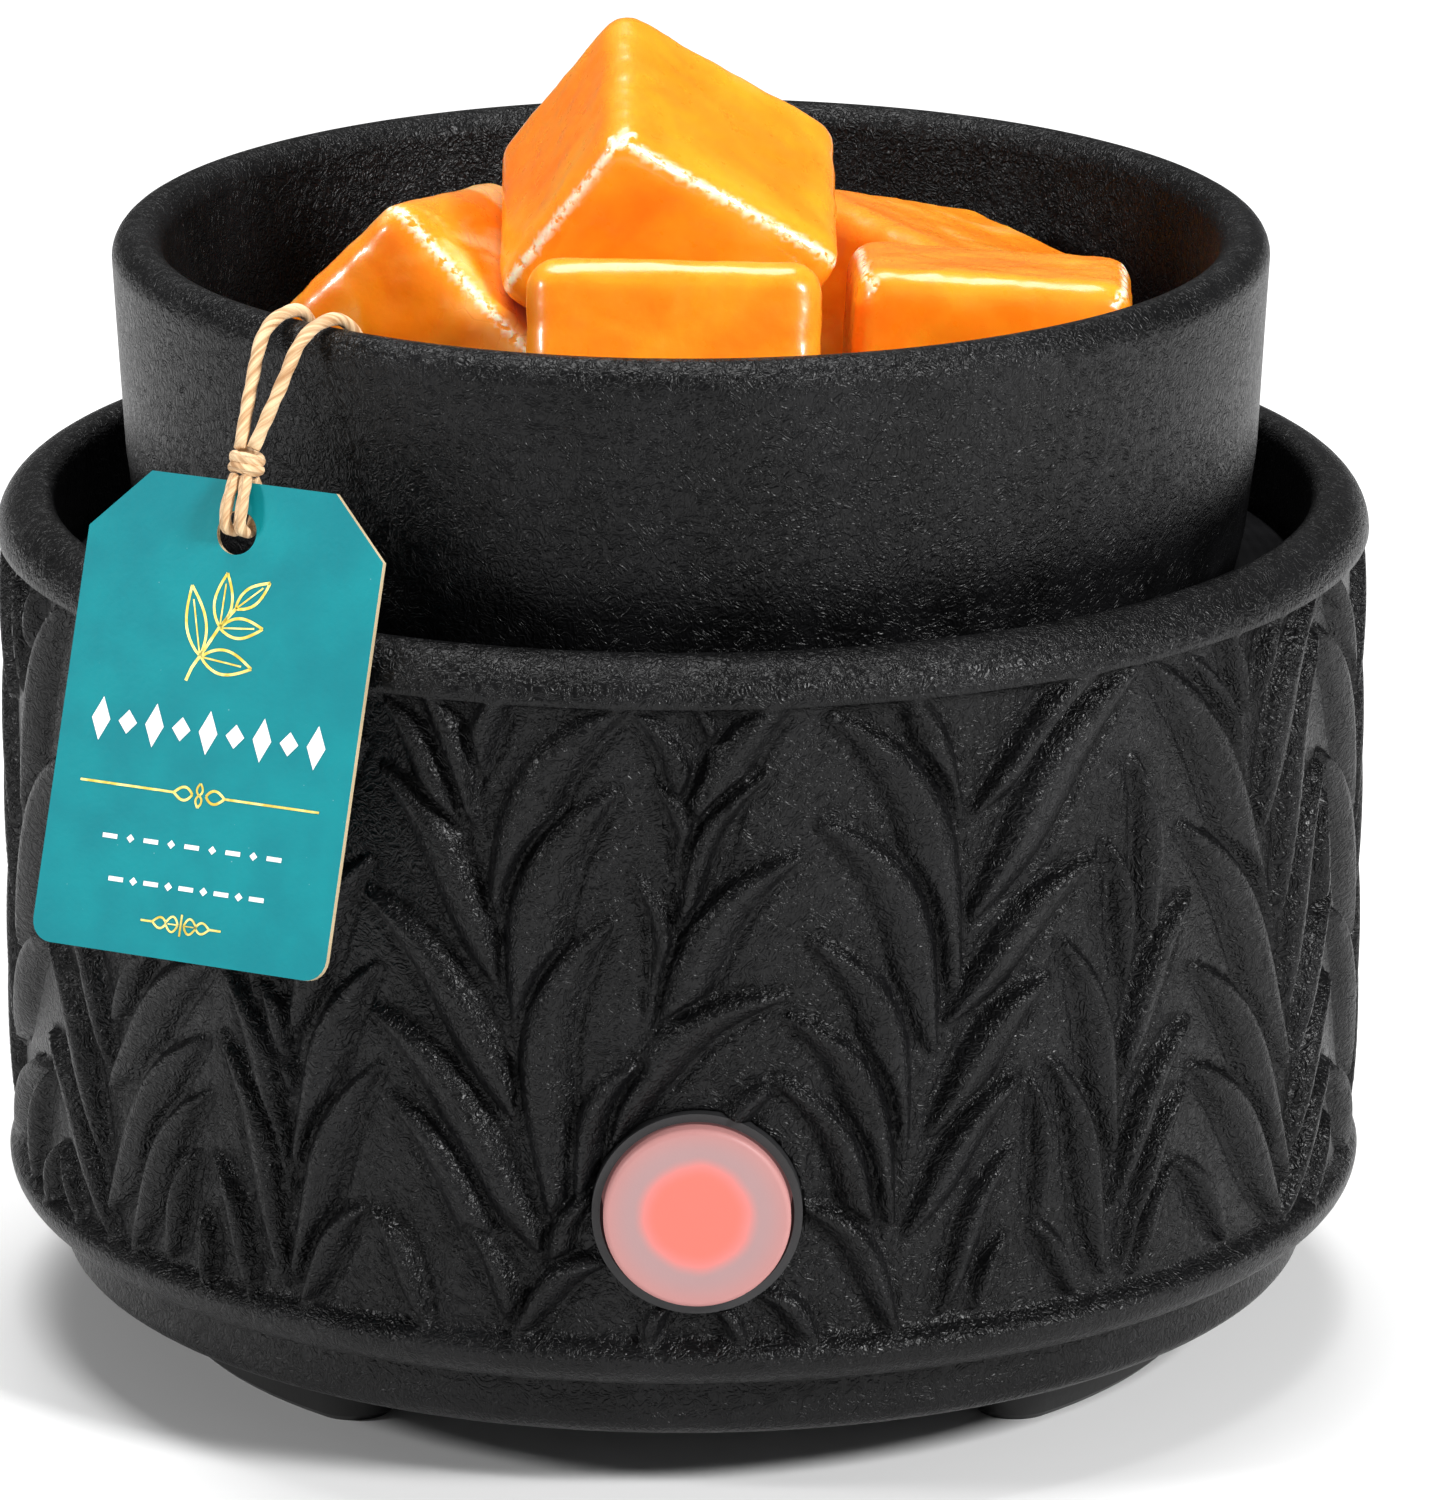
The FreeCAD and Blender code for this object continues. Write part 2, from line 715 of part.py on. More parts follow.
def wax_block():
    """Melt block with a square face at each end, wider at +Z, all edges rounded."""
    faces = []
    for size, z in ((wax_narrow, -wax_thick / 2.0), (wax_wide, wax_thick / 2.0)):
        h = size / 2.0
        ring = [V(-h, -h, z), V(h, -h, z), V(h, h, z), V(-h, h, z), V(-h, -h, z)]
        faces.append(Part.makePolygon(ring))
    block = Part.makeLoft(faces, True, True)
    return block.makeFillet(wax_round, block.Edges)


def placed_wax(name):
    centre, turns = wax_places[name]
    block = wax_block()
    block.Placement = FreeCAD.Placement(centre, FreeCAD.Rotation(*turns))
    return block


# ---- twine and tag -------------------------------------------------------------------------------------------------------

def tag_axes():
    """Across, up and outward directions of the tag's face as it leans."""
    turn = FreeCAD.Rotation(Z, tag_facing)
    across = turn.multVec(X)
    lean = FreeCAD.Rotation(across, -tag_lean)
    return across, lean.multVec(Z), lean.multVec(turn.multVec(V(0, -1, 0)))


def hang_tag():
    across, up, out = tag_axes()
    top = tag_hole + up * tag_hole_drop - out * (tag_thickness / 2.0)
    half = tag_width / 2.0
    spots = [(-half, -tag_height), (half, -tag_height), (half, -tag_chamfer),
             (half - tag_chamfer, 0), (-half + tag_chamfer, 0), (-half, -tag_chamfer)]
    ring = [top + across * a + up * b for a, b in spots]
    card = Part.Face(Part.makePolygon(ring + [ring[0]])).extrude(out * tag_thickness)
    upright = [e for e in card.Edges if is_bottom_corner(e, top, up, out)]
    card = card.makeFillet(tag_corner, upright)
    hole = cylinder(tag_hole_radius, 4.0, tag_hole - out * 2.0, out)
    return card.cut(hole)


def is_bottom_corner(edge, top, up, out):
    middle = edge.CenterOfMass
    direction = edge.Vertexes[0].Point - edge.Vertexes[-1].Point
    low = (middle - top).dot(up) < -tag_height + 1e-3
    return low and abs(abs(direction.dot(out)) - tag_thickness) < 1e-3


def tag_loop():
    """The twine's end doubled through the tag's hole, tied off under the knot."""
    across, up, out = tag_axes()
    drop = (knot_centre - tag_hole).Length
    reach = 1.7
    hoops = []
    for side in (-1, 1):
        shift = across * (side * (twine_radius + 0.1))
        low = tag_hole + shift
        front_low = low + out * reach
        back_low = low - out * reach
        front_top = front_low + up * (drop - knot_radius - 0.6) - out * (reach - 1.05)
        back_top = back_low + up * (drop - knot_radius - 0.6) + out * (reach - 1.05)
        hoops.append(hoop(front_top, front_low + up * 0.4, low, back_low + up * 0.4, back_top))
    return Part.makeCompound(hoops)


def hoop(front_top, front_low, low, back_low, back_top):
    """Strand down the card's face, through the hole and up its back."""
    edges = [Part.LineSegment(front_top, front_low).toShape(),
             Part.Arc(front_low, low + (low - (front_low + back_low) * 0.5) * 1.4, back_low).toShape(),
             Part.LineSegment(back_low, back_top).toShape()]
    path = Part.Wire(edges)
    section = Part.Wire(Part.makeCircle(twine_radius, front_top, front_low - front_top))
    return path.makePipeShell([section], True, True)


def twine_knot():
    return Part.makeSphere(knot_radius, knot_centre)


def twine_loop():
    """From the knot over the dish's rim, down inside it and back to the knot."""
    return tube(twine_points(), twine_radius)


def rim_point(degrees, radius, z):
    """Point by its angle and distance from the dish's own axis."""
    return polar(radius, degrees, z) + V(dish_x, 0, 0)


def twine_points():
    """Route of the loop, chosen by hand round the dish's rim."""
    return [knot_centre + V(-0.6, 0.3, 1.2), rim_point(-42.3, 59.0, 102.4),
            rim_point(-43.6, 55.9, 107.3), rim_point(-44.2, 49.0, 107.3),
            rim_point(-46.9, 47.6, 95.2), rim_point(-35.4, 47.4, 94.6),
            rim_point(-38.4, 49.0, 107.3), rim_point(-38.6, 55.9, 107.3),
            rim_point(-38.6, 59.4, 102.2), knot_centre + V(0.6, 0.1, 1.2)]


def build():
    parts = {
        "base_shell": base_shell(),
        "plate_seal": plate_seal(),
        "hot_plate": hot_plate(),
        "heater_disc": heater_disc(),
        "heater_insulator": heater_insulator(),
        "heater_cup": heater_cup(),
        "heater_nuts": heater_nuts(),
        "thermal_fuse": thermal_fuse(),
        "fuse_clip": fuse_clip(),
        "tie_rods": tie_rods(),
        "tie_studs": tie_studs(),
        "bottom_cover": bottom_cover(),
        "cover_screws": cover_screws(),
        "button_sleeve": button_sleeve(),
        "button_cap": button_cap(),
        "switch_plunger": switch_plunger(),
        "tact_switch": tact_switch(),
        "indicator_lamp": indicator_lamp(),
        "circuit_board": circuit_board(),
        "board_parts": board_parts(),
        "board_bracket": board_bracket(),
        "board_screws": board_screws(),
        "cord_gland": cord_gland(),
        "gland_lock_nut": gland_lock_nut(),
        "terminal_block": terminal_block(),
        "terminal_screws": terminal_screws(),
        "wire_neutral": wire_neutral(),
        "wire_live": wire_live(),
        "wire_switched": wire_switched(),
        "wire_heater": wire_heater(),
        "wax_dish": wax_dish(),
        "twine_loop": twine_loop(),
        "twine_knot": twine_knot(),
        "tag_loop": tag_loop(),
        "hang_tag": hang_tag(),
    }
    for name, angle in foot_angles.items():
        parts[name] = foot(angle)
    for name in wax_places:
        parts[name] = placed_wax(name)
    return parts


os.makedirs("parts", exist_ok=True)
for name, shape in build().items():
    shape.exportStep("parts/" + name + ".step")
    print(name, "valid" if shape.isValid() else "INVALID", round(shape.Volume, 1))
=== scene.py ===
import math

import bmesh
import bpy
import numpy as np
from mathutils import Matrix, Vector, noise


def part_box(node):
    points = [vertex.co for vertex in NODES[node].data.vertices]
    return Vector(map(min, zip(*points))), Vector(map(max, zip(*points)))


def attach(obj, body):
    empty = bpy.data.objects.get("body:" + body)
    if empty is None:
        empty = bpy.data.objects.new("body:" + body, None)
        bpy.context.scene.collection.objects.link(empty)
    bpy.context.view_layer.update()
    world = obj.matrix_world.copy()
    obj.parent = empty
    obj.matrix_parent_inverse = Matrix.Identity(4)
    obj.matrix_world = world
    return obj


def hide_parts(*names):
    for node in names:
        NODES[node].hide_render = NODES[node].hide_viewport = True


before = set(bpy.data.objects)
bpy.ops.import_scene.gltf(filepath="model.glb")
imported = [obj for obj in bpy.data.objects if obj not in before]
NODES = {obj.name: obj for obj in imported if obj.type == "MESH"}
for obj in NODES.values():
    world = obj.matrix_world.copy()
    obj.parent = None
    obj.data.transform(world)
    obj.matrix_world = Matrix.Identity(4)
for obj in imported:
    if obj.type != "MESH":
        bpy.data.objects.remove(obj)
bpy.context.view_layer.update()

# Finishes and fine shapes of a table-top wax warmer.  Metres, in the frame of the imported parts:
# the base's axis is Z, -Y is the front and the feet stand on Z = 0.  Sizes in millimetres are
# written with MM.

MM = 0.001


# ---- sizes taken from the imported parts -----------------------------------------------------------

def high(node):
    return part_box(node)[1]


def low(node):
    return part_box(node)[0]


BODY_RADIUS = high("base_shell").x
BODY_TOP = high("base_shell").z
RING_BOTTOM = low("base_shell").z
DISH_X = (high("wax_dish").x + low("wax_dish").x) / 2
DISH_BOTTOM = low("wax_dish").z
DISH_RADIUS = (high("wax_dish").x - low("wax_dish").x) / 2
RIM_TOP = high("wax_dish").z
BUTTON = (high("button_cap") + low("button_cap")) / 2
KNOT = (high("twine_knot") + low("twine_knot")) / 2
TWINE = 0.65 * MM


# ---- shader expressions --------------------------------------------------------------------------

class Value:
    """A number that changes over a surface; arithmetic on it adds Math nodes."""

    def __init__(self, finish, socket):
        self.finish = finish
        self.socket = socket

    def math(self, operation, *others):
        return self.finish.add("ShaderNodeMath", {"operation": operation}, (self, *others))

    def __add__(self, other):
        return self.math("ADD", other)

    def __mul__(self, other):
        return self.math("MULTIPLY", other)

    def __sub__(self, other):
        return self.math("SUBTRACT", other)

    def __rsub__(self, other):
        return self.finish.add("ShaderNodeMath", {"operation": "SUBTRACT"}, (other, self))

    __radd__ = __add__
    __rmul__ = __mul__

    def step(self, start, end):
        """0 below start and 1 above end, with a smooth rise between."""
        settings = {"interpolation_type": "SMOOTHSTEP"}
        inputs = {"Value": self, "From Min": start, "From Max": end}
        return self.finish.add("ShaderNodeMapRange", settings, inputs)


class Finish:
    """One material: a Principled shader and the nodes that feed it."""

    def __init__(self, name, **constants):
        self.material = bpy.data.materials.new(name)
        self.material.use_nodes = True
        self.tree = self.material.node_tree
        self.shader = self.tree.nodes["Principled BSDF"]
        self.set(**constants)

    def put(self, node, inputs):
        pairs = inputs.items() if isinstance(inputs, dict) else enumerate(inputs)
        for key, value in pairs:
            if isinstance(value, Value):
                self.tree.links.new(value.socket, node.inputs[key])
            else:
                node.inputs[key].default_value = value

    def add(self, kind, settings=(), inputs=(), output=0):
        """A new node of a kind, with its settings made first and then its sockets."""
        node = self.tree.nodes.new(kind)
        for key, value in dict(settings).items():
            setattr(node, key, value)
        self.put(node, inputs)
        return Value(self, node.outputs[output])

    def place(self):
        return self.add("ShaderNodeTexCoord", output="Object")

    def stretched(self, x, y, z):
        """The place on the piece with each axis scaled, to draw a grain out."""
        return self.add("ShaderNodeVectorMath", {"operation": "MULTIPLY"},
                        (self.place(), (x, y, z)))

    def grain(self, size, detail=2.0, distortion=0.0, at=None):
        """Noise from 0 to 1 with features about size metres across."""
        inputs = {"Vector": at or self.place(), "Scale": 1 / size, "Detail": detail,
                  "Distortion": distortion}
        return self.add("ShaderNodeTexNoise", {}, inputs)

    def cells(self, size, feature="F1", at=None):
        inputs = {"Vector": at or self.place(), "Scale": 1 / size}
        return self.add("ShaderNodeTexVoronoi", {"feature": feature}, inputs)

    def blend(self, factor, first, second):
        """Colour between two colours by a factor."""
        node = self.tree.nodes.new("ShaderNodeMix")
        node.data_type = "RGBA"
        self.put(node, {0: factor, 6: rgba(first), 7: rgba(second)})
        return Value(self, node.outputs[2])

    def relief(self, height, depth, strength=1.0):
        inputs = {"Strength": strength, "Distance": depth, "Height": height}
        self.put(self.shader, {"Normal": self.add("ShaderNodeBump", {}, inputs)})

    def attribute(self, name):
        return self.add("ShaderNodeAttribute", {"attribute_name": name}, output="Fac")

    def set(self, **sockets):
        self.put(self.shader, {key.replace("_", " "): value for key, value in sockets.items()})
        return self.material


def rgba(colour):
    return colour if isinstance(colour, Value) else (*colour, 1.0)


# ---- finishes ------------------------------------------------------------------------------------

def crinkle_glaze(name, gloss):
    """Black glaze that has dried into short crinkles, like fine leather."""
    glaze = Finish(name, Specular_IOR_Level=0.2)
    warped = glaze.grain(1.5 * MM, detail=2.0, distortion=2.2)
    ridges = 1 - ((warped - 0.5) * 7.0).math("ABSOLUTE")
    second = glaze.grain(1.0 * MM, detail=1.0, distortion=1.2)
    crossing = 1 - ((second - 0.5) * 6.0).math("ABSOLUTE")
    fine = glaze.cells(0.5 * MM)
    broad = glaze.grain(9 * MM, detail=3.0)
    height = ridges.math("MAXIMUM", 0.0) + crossing.math("MAXIMUM", 0.0) * 0.6 + (1 - fine) * 0.3
    glaze.relief(height, 0.07 * MM)
    shade = glaze.blend(broad.step(0.35, 0.7), (0.002, 0.002, 0.0022), (0.005, 0.005, 0.0055))
    return glaze.set(Base_Color=shade, Roughness=gloss + 0.12 * fine)


def wax_finish(name, bloom):
    """Clear orange wax with patches of pale bloom, its edges painted paler for light shining through
    the thin wax, and a painted highlight along some edges, broken like rubbed chips.
    """
    wax = Finish(name, Subsurface_Weight=0.55, Subsurface_Radius=(1.0, 0.42, 0.12),
                 Subsurface_Scale=5.0 * MM, Coat_Roughness=0.12, IOR=1.44)
    edge = wax.attribute("edge")
    scuff_and_glint = wax.attribute("scuff_and_glint")
    cloud = wax.grain(11 * MM, detail=3.0, distortion=0.6)
    fine = wax.grain(1.6 * MM, detail=4.0)
    body = wax.blend(cloud.step(0.3, 0.7), (1.0, 0.22, 0.003), (1.0, 0.33, 0.01))
    # Painted glow: the edges are painted paler, standing in for light shining through the thin wax
    # there.
    body = wax.blend(edge * 0.5, body, (1.0, 0.38, 0.03))
    crack = 1 - wax.cells(3.4 * MM, "DISTANCE_TO_EDGE").step(0.0, 0.035)
    patch = cloud.step(0.62 - bloom * 0.18, 0.8 - bloom * 0.14) * bloom
    body = wax.blend(patch * (0.45 + 0.5 * fine), body, (1.0, 0.72, 0.36))
    body = wax.blend(patch * crack * 0.5, body, (0.62, 0.24, 0.05))
    # Painted highlight: pale cream along the chosen edges stands in for light catching them, broken
    # like rubbed chips; the bump and roughness it adds are real texture.
    chips_and_glint = scuff_and_glint * wax.grain(0.8 * MM, detail=3.0).step(0.36, 0.5)
    body = wax.blend(chips_and_glint, body, (1.0, 0.93, 0.72))
    wax.relief(fine * 0.5 + crack * patch * -0.4 + chips_and_glint * 0.6, 0.12 * MM)
    return wax.set(Base_Color=body, Roughness=0.2 + 0.2 * fine + 0.3 * chips_and_glint, Coat_Weight=0.4)


def card_finish(name, tone, pale):
    card = Finish(name, Specular_IOR_Level=0.2)
    fibres = card.grain(0.5 * MM, detail=4.0)
    cloud = card.grain(7 * MM, detail=3.0)
    specks = card.cells(1.3 * MM).step(0.06, 0.02) * cloud.step(0.5, 0.62)
    body = card.blend(cloud.step(0.3, 0.75) * 0.8, tone, pale)
    body = card.blend(specks * 0.35, body, (0.55, 0.8, 0.8))
    card.relief(fibres, 0.03 * MM, 0.6)
    return card.set(Base_Color=body, Roughness=0.42 + 0.14 * fibres)


def foil_finish():
    foil = Finish("gold_foil", Metallic=0.85)
    worn = foil.grain(1.2 * MM, detail=3.0)
    body = foil.blend(worn.step(0.35, 0.65), (0.72, 0.55, 0.08), (0.95, 0.86, 0.3))
    foil.relief(worn, 0.02 * MM, 0.5)
    return foil.set(Base_Color=body, Roughness=0.28 + 0.15 * worn)


def ink_finish():
    ink = Finish("white_ink")
    worn = ink.grain(0.7 * MM, detail=3.0)
    body = ink.blend(worn.step(0.3, 0.6), (0.82, 0.88, 0.88), (0.97, 0.98, 0.98))
    ink.relief(worn, 0.015 * MM, 0.4)
    return ink.set(Base_Color=body, Roughness=0.5 + 0.1 * worn)


def twine_finish():
    """Twisted paper: long fibres that run with the strand."""
    twine = Finish("paper_twine_finish", Sheen_Weight=0.15, Specular_IOR_Level=0.4)
    around = twine.attribute("around")
    along = twine.attribute("along")
    lay = twine.add("ShaderNodeCombineXYZ", {}, {"X": around, "Y": along * 60.0})
    fibres = twine.add("ShaderNodeTexNoise", {}, {"Vector": lay, "Scale": 2.4, "Detail": 4.0})
    tone = twine.grain(4 * MM, detail=2.0)
    body = twine.blend(fibres.step(0.36, 0.64), (0.42, 0.215, 0.085), (0.80, 0.56, 0.32))
    body = twine.blend(tone.step(0.4, 0.75) * 0.4, body, (0.86, 0.66, 0.42))
    twine.relief(fibres, 0.12 * MM)
    return twine.set(Base_Color=body, Roughness=0.55 + 0.2 * fibres)


def painted_glow_cap_finish():
    """Frosted cap with the red lamp's light behind it painted on as emission: a glowing red disc in
    the middle of a paler ring, and a faint red glow over the whole cap.
    """
    cap = Finish("frosted_cap_painted_glow", Emission_Strength=0.75, IOR=1.49)
    axis = (BUTTON.x, 0.0, BUTTON.z + 0.2 * MM)
    away = cap.add("ShaderNodeVectorMath", {"operation": "SUBTRACT"}, (cap.place(), axis))
    flat = cap.add("ShaderNodeVectorMath", {"operation": "MULTIPLY"}, (away, (1.0, 0.0, 1.0)))
    radius = cap.add("ShaderNodeVectorMath", {"operation": "LENGTH"}, (flat,), "Value")
    cloud = cap.grain(5 * MM, detail=2.0)
    # Painted glow: this middle disc stands in for the red lamp's light shining through the cap.
    core = 1 - (radius + cloud * 0.9 * MM).step(3.9 * MM, 6.3 * MM)
    ring = radius.step(6.0 * MM, 8.6 * MM)
    body = cap.blend(core, cap.blend(ring, (0.30, 0.19, 0.19), (0.38, 0.17, 0.16)),
                     (0.55, 0.09, 0.07))
    # Painted glow: the cap emits red light itself, strongest in the middle disc, though the lamp is
    # behind it.
    glow = cap.blend(core, cap.blend(cloud, (0.12, 0.05, 0.05), (0.17, 0.08, 0.08)),
                     (0.9, 0.12, 0.085))
    cap.relief(cap.grain(0.25 * MM), 0.02 * MM, 0.5)
    return cap.set(Base_Color=body, Emission_Color=glow, Roughness=0.45 + 0.1 * cloud)


def moulded(name, tone, rough=0.5, size=0.35):
    """Moulded plastic or rubber with a fine spark-eroded grain."""
    skin = Finish(name)
    pores = skin.grain(size * MM, detail=3.0)
    cloud = skin.grain(12 * MM, detail=2.0)
    lighter = tuple(min(1.0, value * 1.35 + 0.004) for value in tone)
    skin.relief(pores, 0.04 * MM, 0.7)
    return skin.set(Base_Color=skin.blend(cloud, tone, lighter), Roughness=rough + 0.12 * pores)


def metal(name, tone, rough=0.3, rings=0.0):
    """Plated or anodised metal, with turning marks round Z where rings is set."""
    plate = Finish(name, Metallic=1.0)
    stain = plate.grain(8 * MM, detail=4.0)
    scratches = plate.grain(0.7 * MM, detail=3.0, at=plate.stretched(1.0, 0.08, 1.0))
    height = scratches
    if rings:
        pattern = {"wave_type": "RINGS", "rings_direction": "Z"}
        turned = {"Vector": plate.place(), "Scale": rings, "Distortion": 0.4, "Detail": 2.0}
        height = plate.add("ShaderNodeTexWave", pattern, turned, "Fac") + scratches * 0.4
    darker = tuple(value * 0.72 for value in tone)
    plate.relief(height, 0.03 * MM, 0.6)
    body = plate.blend(stain.step(0.3, 0.7), darker, tone)
    return plate.set(Base_Color=body, Roughness=rough + 0.15 * stain)


def woven_mat():
    mat = Finish("glass_fibre_mat")
    weave = mat.add("ShaderNodeTexWave", {}, {"Vector": mat.place(), "Scale": 900.0,
                                              "Distortion": 1.5}, "Fac")
    mat.relief(weave, 0.1 * MM)
    body = mat.blend(weave, (0.7, 0.66, 0.56), (0.9, 0.88, 0.8))
    return mat.set(Base_Color=body, Roughness=0.8 + 0.1 * weave)


def board_finish():
    """Green laminate with paler tracks."""
    board = Finish("board_laminate_finish")
    tracks = board.add("ShaderNodeTexBrick", {}, {"Vector": board.place(), "Scale": 120.0,
                                                  "Mortar Size": 0.012}, "Fac")
    body = board.blend(tracks, (0.015, 0.10, 0.045), (0.05, 0.26, 0.12))
    board.relief(tracks, 0.05 * MM)
    return board.set(Base_Color=body, Roughness=0.35 + 0.1 * tracks)


def dress(material, *names):
    """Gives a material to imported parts, in every slot that they have."""
    for name in names:
        mesh = NODES[name].data
        mesh.materials.clear()
        mesh.materials.append(material)


# ---- mesh helpers --------------------------------------------------------------------------------

def placed(name, data):
    """A new object in the scene that shows some data."""
    made = bpy.data.objects.new(name, data)
    bpy.context.scene.collection.objects.link(made)
    return made


def worked_out(thing):
    """The mesh that an object's modifiers or its curve give."""
    view = bpy.context.evaluated_depsgraph_get()
    return bpy.data.meshes.new_from_object(thing.evaluated_get(view))


def settle(thing):
    """Applies an object's modifiers to its mesh."""
    mesh = worked_out(thing)
    thing.modifiers.clear()
    thing.data = mesh


def shade(mesh, smooth):
    mesh.polygons.foreach_set("use_smooth", [smooth] * len(mesh.polygons))


def paint(mesh, label, values):
    """Stores a number at each point, for a finish to read."""
    mesh.attributes.new(label, "FLOAT", "POINT").data.foreach_set("value", values)


def points_of(mesh):
    return np.array([vertex.co for vertex in mesh.vertices])


def piece(name, vertices, faces, material, body, replaces=()):
    """A smooth mesh object that rides on a body."""
    mesh = bpy.data.meshes.new(name)
    mesh.from_pydata([tuple(v) for v in vertices], [], [tuple(f) for f in faces])
    mesh.materials.append(material)
    shade(mesh, True)
    mesh.update()
    made = placed(name, mesh)
    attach(made, body)
    if replaces:
        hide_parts(*replaces)
    return made


def tube_faces(rows, columns, closed_rows):
    """Quads of a grid whose columns wrap, and whose rows wrap too if asked."""
    faces = []
    for i in range(rows if closed_rows else rows - 1):
        below, above = i * columns, ((i + 1) % rows) * columns
        for j in range(columns):
            k = (j + 1) % columns
            faces.append((below + j, below + k, above + k, above + j))
    return faces


def arc(centre_r, centre_z, radius, start, end, count):
    """Points (r, z) on an arc between two angles in degrees, 0 being outwards."""
    turns = np.radians(np.linspace(start, end, count))
    return [(centre_r + radius * math.cos(a), centre_z + radius * math.sin(a)) for a in turns]


def line(start, end, count):
    """Points between two (r, z) ends, without the ends themselves."""
    steps = np.linspace(0, 1, count + 2)[1:-1]
    return [(start[0] + (end[0] - start[0]) * t, start[1] + (end[1] - start[1]) * t)
            for t in steps]


# ---- leaf relief of the base ---------------------------------------------------------------------

# A leaf is (tip angle, tip height, tail angle, tail height, width): degrees round the base from
# the front, positive towards +X, and millimetres.
CENTRE_LEAVES = [
    (-12.5, 79, -17.5, 69, 3.6), (-4.8, 77, -15.5, 54, 6.2), (-5.8, 69, -12.5, 42, 6.6),
    (-6, 57, -10.5, 29, 6.0), (-3.5, 44, -8.5, 31, 3.4), (-7.5, 31, -10.5, 22, 3.0),
    (-4, 77, 0.5, 61, 3.6), (-2.2, 70, 0, 58, 2.6), (-4.2, 62, -3, 44, 2.6),
    (0.5, 78, 2.5, 66, 2.4), (-6, 25, -14, 17, 3.6), (-1, 21, -3, 16.5, 2.4),
    (2, 21, 5, 16, 2.4), (6, 22, 11, 16, 3.4),
    (10, 79, 0, 54, 5.6), (7, 71, -0.5, 54, 3.0), (9.3, 63, -2.2, 42, 5.4),
    (8, 50, -8, 34, 5.0), (9, 42, 2, 35, 3.0),
    (17, 79, 23, 63, 4.6), (12, 76, 22.5, 49, 6.4), (11.3, 66, 20.5, 44, 5.8),
    (10.5, 55, 18, 34, 5.4), (8.5, 48, 17, 28, 5.0), (7.5, 42, 15.5, 22, 4.2),
    (9.5, 30, 17.5, 17, 4.0),
]
RIGHT_LEAVES = [
    (38.5, 79, 24.3, 66, 5.0), (40.2, 77, 24, 56, 6.6), (35.7, 59.5, 22, 46.5, 5.4),
    (31.2, 49, 20.5, 36, 5.4), (28.5, 40, 18.5, 26.5, 4.6), (28, 33.5, 21.5, 18.5, 3.6),
    (27.3, 25, 24.5, 18.5, 2.6), (29.5, 26, 34, 18, 3.0), (29.5, 40, 30.3, 24, 2.6),
    (31.5, 41, 36.8, 19.5, 4.2), (32.7, 52, 38, 31, 4.6), (37, 61, 39, 47, 3.0),
    (39.8, 68, 41.6, 50, 4.0), (49.5, 79, 53.5, 69, 2.8), (59, 78, 55.3, 70, 3.0),
    (46.5, 76, 55, 57.5, 4.0), (41, 77, 59.2, 44, 6.4), (45.8, 60, 61.6, 32.5, 6.2),
    (47.7, 46, 62, 21.5, 5.6), (47.5, 36.5, 60.5, 18, 5.4), (45.4, 28, 51.8, 18.5, 3.4),
    (46.5, 53.5, 38.7, 38, 4.8), (46.5, 41.5, 38, 26, 4.2), (46.2, 35, 39, 20, 3.6),
    (44.8, 28, 40.3, 18.5, 3.2),
    (65.5, 77, 56, 57, 6.0), (66.7, 73, 59.5, 48, 5.0), (68.3, 60, 61, 38, 5.0),
    (69.5, 57, 69, 44, 3.4), (71.5, 47, 63, 33, 4.2), (72, 38, 62.5, 24, 4.4),
    (72.2, 29.5, 61.5, 17.5, 4.2), (72.5, 24, 67, 16.5, 3.2),
    (70, 78, 79, 60, 5.0), (67.5, 73, 80.5, 51, 5.8), (69, 60.5, 82, 38, 5.8),
    (73, 44, 83, 24, 5.2), (73.5, 28, 82, 17, 4.4),
]
LEFT_LEAVES = [
    (-69.5, 77, -71.2, 69, 2.8), (-77, 76, -73.8, 65, 3.0), (-63.5, 77, -75.5, 50.5, 5.8),
    (-62, 63, -80, 38.5, 6.0), (-69.5, 42.5, -82, 28.5, 5.4), (-70.5, 29.5, -84, 17, 4.8),
    (-69.5, 29, -74.5, 17, 3.2), (-66.5, 23, -69, 16, 3.0),
    (-68, 43, -57.5, 25, 5.8), (-63.5, 48, -56, 34, 4.4), (-68.5, 33.5, -56.5, 17.5, 5.2),
    (-66, 23, -62, 17, 3.2), (-60, 66, -55.5, 50, 4.6), (-61, 78, -54, 62, 4.8),
    (-46, 78, -54, 60, 5.4), (-44, 66, -55, 48, 5.6), (-49, 48, -55.5, 39, 3.4),
    (-42, 56, -51, 44, 4.6), (-42, 48.5, -56, 32.5, 5.6), (-44, 40, -56.5, 20, 5.8),
    (-43.5, 35, -53, 17.5, 4.6), (-44.5, 29, -48, 18, 3.2), (-44, 24, -43.7, 16.5, 2.6),
    (-43, 78, -35, 62, 5.2), (-42, 66, -34.5, 49, 5.0), (-41, 56, -34, 38, 5.0),
    (-41, 48, -34.3, 28, 4.4), (-41.5, 41.5, -34.8, 19, 4.6), (-42.5, 29.5, -38.3, 17, 3.6),
    (-30, 79, -35, 67, 4.2), (-27, 72, -34, 54, 4.8), (-26.5, 61, -34, 43, 4.8),
    (-37, 48, -34.5, 41, 3.0), (-26, 51, -33.8, 29.5, 5.0), (-25.7, 41.5, -34, 19.5, 4.8),
    (-27, 28, -33, 17.5, 3.6),
    (-22, 79, -17, 66, 4.0), (-25, 77, -17.5, 60, 4.2), (-25, 70, -14.5, 50, 5.2),
    (-26.5, 58, -12.5, 37, 5.4), (-26, 47, -11.2, 25, 5.6), (-24.8, 39, -13.8, 20, 4.6),
    (-26.5, 28, -21.5, 17.5, 3.6), (-17.5, 27, -13.5, 17.5, 3.2),
]
